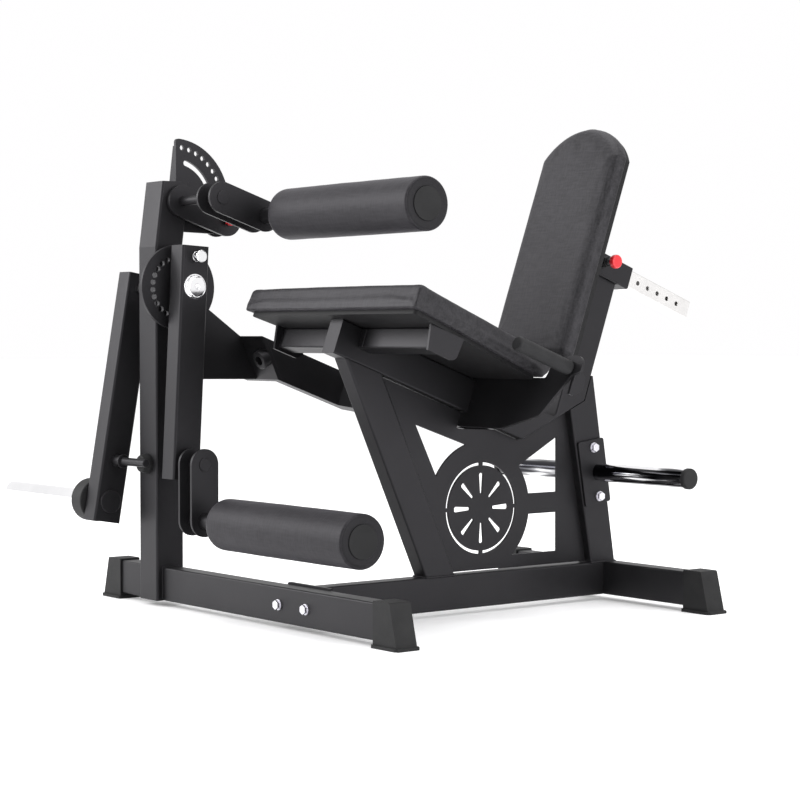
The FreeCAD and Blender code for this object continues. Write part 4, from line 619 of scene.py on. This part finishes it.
def bead(points, radius=2.2 * MM, closed=False, pitch=2.4 * MM):
    """A rippled weld bead along a polyline."""
    path = [Vector(p) for p in points]
    if closed:
        path.append(path[0])
    spots = []
    for first, second in zip(path, path[1:]):
        steps = max(1, round((second - first).length / (pitch / 4)))
        spots += [first.lerp(second, i / steps) for i in range(steps)]
    if not closed:
        spots.append(path[-1])
    count = len(spots)
    made = bmesh.new()
    rings = []
    for i, spot in enumerate(spots):
        ahead = spots[(i + 1) % count] if closed or i + 1 < count else spots[i]
        behind = spots[i - 1] if closed or i > 0 else spots[i]
        along = (ahead - behind).normalized()
        side = along.orthogonal().normalized()
        other = along.cross(side)
        ripple = 1 + 0.16 * math.cos(2 * math.pi * i / 4) + 0.12 * noise.noise(spot * 300)
        taper = 1.0 if closed else min(1.0, 0.25 + min(i, count - 1 - i) / 6)
        size = radius * ripple * taper
        rings.append([made.verts.new(spot + (side * math.cos(t) + other * math.sin(t)) * size)
                      for t in (math.pi / 4 * k for k in range(8))])
    pairs = list(zip(rings, rings[1:]))
    if closed:
        pairs.append((rings[-1], rings[0]))
    for first, second in pairs:
        shift = min(range(8), key=lambda s: (first[0].co - second[s].co).length)
        for k in range(8):
            made.faces.new((first[k], first[(k + 1) % 8],
                            second[(k + 1 + shift) % 8], second[(k + shift) % 8]))
    if not closed:
        made.faces.new(rings[0][::-1])
        made.faces.new(rings[-1])
    return made


def ring_points(x, centre, radius, count=72):
    angles = (2 * math.pi * i / count for i in range(count))
    return [(x, centre[0] + radius * math.cos(t), centre[1] + radius * math.sin(t)) for t in angles]


def join_beads(name, beads):
    whole = bmesh.new()
    for made in beads:
        scratch = bpy.data.meshes.new("bead")
        made.to_mesh(scratch)
        made.free()
        whole.from_mesh(scratch)
        bpy.data.meshes.remove(scratch)
    new_piece(name, whole, PAINT, "frame")


def box_loop(low, high, z):
    return [(low.x, low.y, z), (high.x, low.y, z), (high.x, high.y, z), (low.x, high.y, z)]


def middle_of(node):
    low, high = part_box(node)
    return (low + high) / 2


def on_slope(points):
    """Points of the seat's sloping frame, given in millimetres."""
    return [SEAT @ (Vector(point) * MM) for point in points]


def slope_loop(half_x, a_range, b_range):
    """A rectangle in the sloping frame, flat along whichever range is a single value."""
    (a0, a1), (b0, b1) = a_range, b_range
    if b0 == b1:
        return on_slope([(-half_x, a0, b0), (half_x, a0, b0), (half_x, a1, b0), (-half_x, a1, b0)])
    return on_slope([(-half_x, a0, b0), (half_x, a0, b0), (half_x, a0, b1), (-half_x, a0, b1)])


# where the posts' feet stand on the base beam, front and rear
POST_FEET = {"front_seat_post": (-0.1677, -0.0929), "rear_upright": (0.2834, 0.3530)}
POST_REAR = 52 * MM
HOUSING_RADIUS = 31 * MM
THIN_BEAD = 1.8 * MM
BAR_BEAD = 1.6 * MM
GUSSET_BEAD = 1.3 * MM


def make_welds():
    """Beads on the frame; the sloping ones are placed in millimetres on the seat's slope."""
    beam_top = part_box("base_beam")[1].z
    beads = []
    for node, (front, rear) in POST_FEET.items():
        low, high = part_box(node)
        loop = box_loop(Vector((low.x, front, 0)), Vector((high.x, rear, 0)), beam_top)
        beads.append(bead(loop, closed=True))
    post_low, post_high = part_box("main_post")
    front_low, front_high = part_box("front_cross_beam")
    for x in (post_low.x, post_high.x):
        beads.append(bead([(x, front_low.y, front_low.z + 2 * MM), (x, front_low.y, front_high.z),
                           (x, front_high.y, front_high.z)]))
    arm_low, arm_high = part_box("arm_box")
    rear_face = ORIGIN.y + POST_REAR
    beads.append(bead([(arm_high.x - 3 * MM, rear_face, arm_low.z), (arm_low.x, rear_face, arm_low.z),
                       (arm_low.x, rear_face, arm_high.z), (arm_high.x - 3 * MM, rear_face, arm_high.z)]))
    pivot = middle_of("main_shaft")
    for x in (post_low.x, post_high.x):
        beads.append(bead(ring_points(x, (pivot.y, pivot.z), HOUSING_RADIUS), closed=True))
    beads.append(bead(slope_loop(25, (590, 654), (321.5, 321.5)), THIN_BEAD, closed=True))
    beads.append(bead(slope_loop(35, (362, 362), (-74, -3)), THIN_BEAD, closed=True))
    for side in (-1, 1):
        beads.append(bead(on_slope([(side * 35.5, 49.5, -40), (side * 35.5, 49.5, -2)]), BAR_BEAD))
        beads.append(bead(on_slope([(side * 299.5, 363, 4), (side * 299.5, 363, 24)]), GUSSET_BEAD))
    join_beads("frame_welds", beads)


make_welds()

# ---- studio ------------------------------------------------------------------------------------------------


def plain(name, colour, roughness):
    f = Finish(name, Roughness=roughness, Specular_IOR_Level=0.2)
    f.colour(f.ramp(f.noise(0.8, 2.0), [(0.3, colour), (0.7, tuple(c * 0.995 for c in colour))]))
    return f.material


FLOOR_GLOW = 0.16  # hides the horizon against the white room


def make_floor():
    made = bmesh.new()
    bmesh.ops.create_grid(made, x_segments=8, y_segments=8, size=40)
    mesh = bpy.data.meshes.new("floor")
    made.to_mesh(mesh)
    made.free()
    paper = plain("floor_white", (0.93, 0.93, 0.935), 0.6)
    shader = paper.node_tree.nodes["Principled BSDF"]
    shader.inputs["Emission Color"].default_value = (1, 1, 1, 1)
    shader.inputs["Emission Strength"].default_value = FLOOR_GLOW
    mesh.materials.append(paper)
    floor = bpy.data.objects.new("floor", mesh)
    bpy.context.scene.collection.objects.link(floor)


def make_light(name, location, target, size, power, colour=(1, 1, 1)):
    data = bpy.data.lights.new(name, "AREA")
    data.shape = "DISK"
    data.size = size
    data.energy = power
    data.color = colour
    light = bpy.data.objects.new(name, data)
    light.location = location
    light.rotation_euler = (Vector(target) - Vector(location)).to_track_quat("-Z", "Y").to_euler()
    bpy.context.scene.collection.objects.link(light)


def make_world():
    world = bpy.data.worlds.new("studio")
    world.use_nodes = True
    background = world.node_tree.nodes["Background"]
    background.inputs["Color"].default_value = (1.0, 0.995, 1.0, 1)
    background.inputs["Strength"].default_value = 1.0
    bpy.context.scene.world = world


def make_camera():
    data = bpy.data.cameras.new("camera")
    data.lens = 92.9
    data.sensor_width = 36
    data.clip_end = 100
    camera = bpy.data.objects.new("camera", data)
    camera.location = (3.5610, -2.7434, 0.5645)
    camera.rotation_euler = Vector((-0.78645, 0.61688, -0.03099)).to_track_quat("-Z", "Y").to_euler()
    bpy.context.scene.collection.objects.link(camera)
    bpy.context.scene.camera = camera


make_floor()
make_world()
make_light("key", (-2.6, -3.6, 2.2), (0, 0, 0.5), 3.0, 190)
make_light("side", (4.2, 0.6, 1.5), (0.3, 0, 0.5), 2.6, 75)
make_light("top", (0.3, 0.2, 4.2), (0.2, 0, 0), 4.0, 110)
make_camera()
bpy.context.scene.view_settings.view_transform = "Standard"
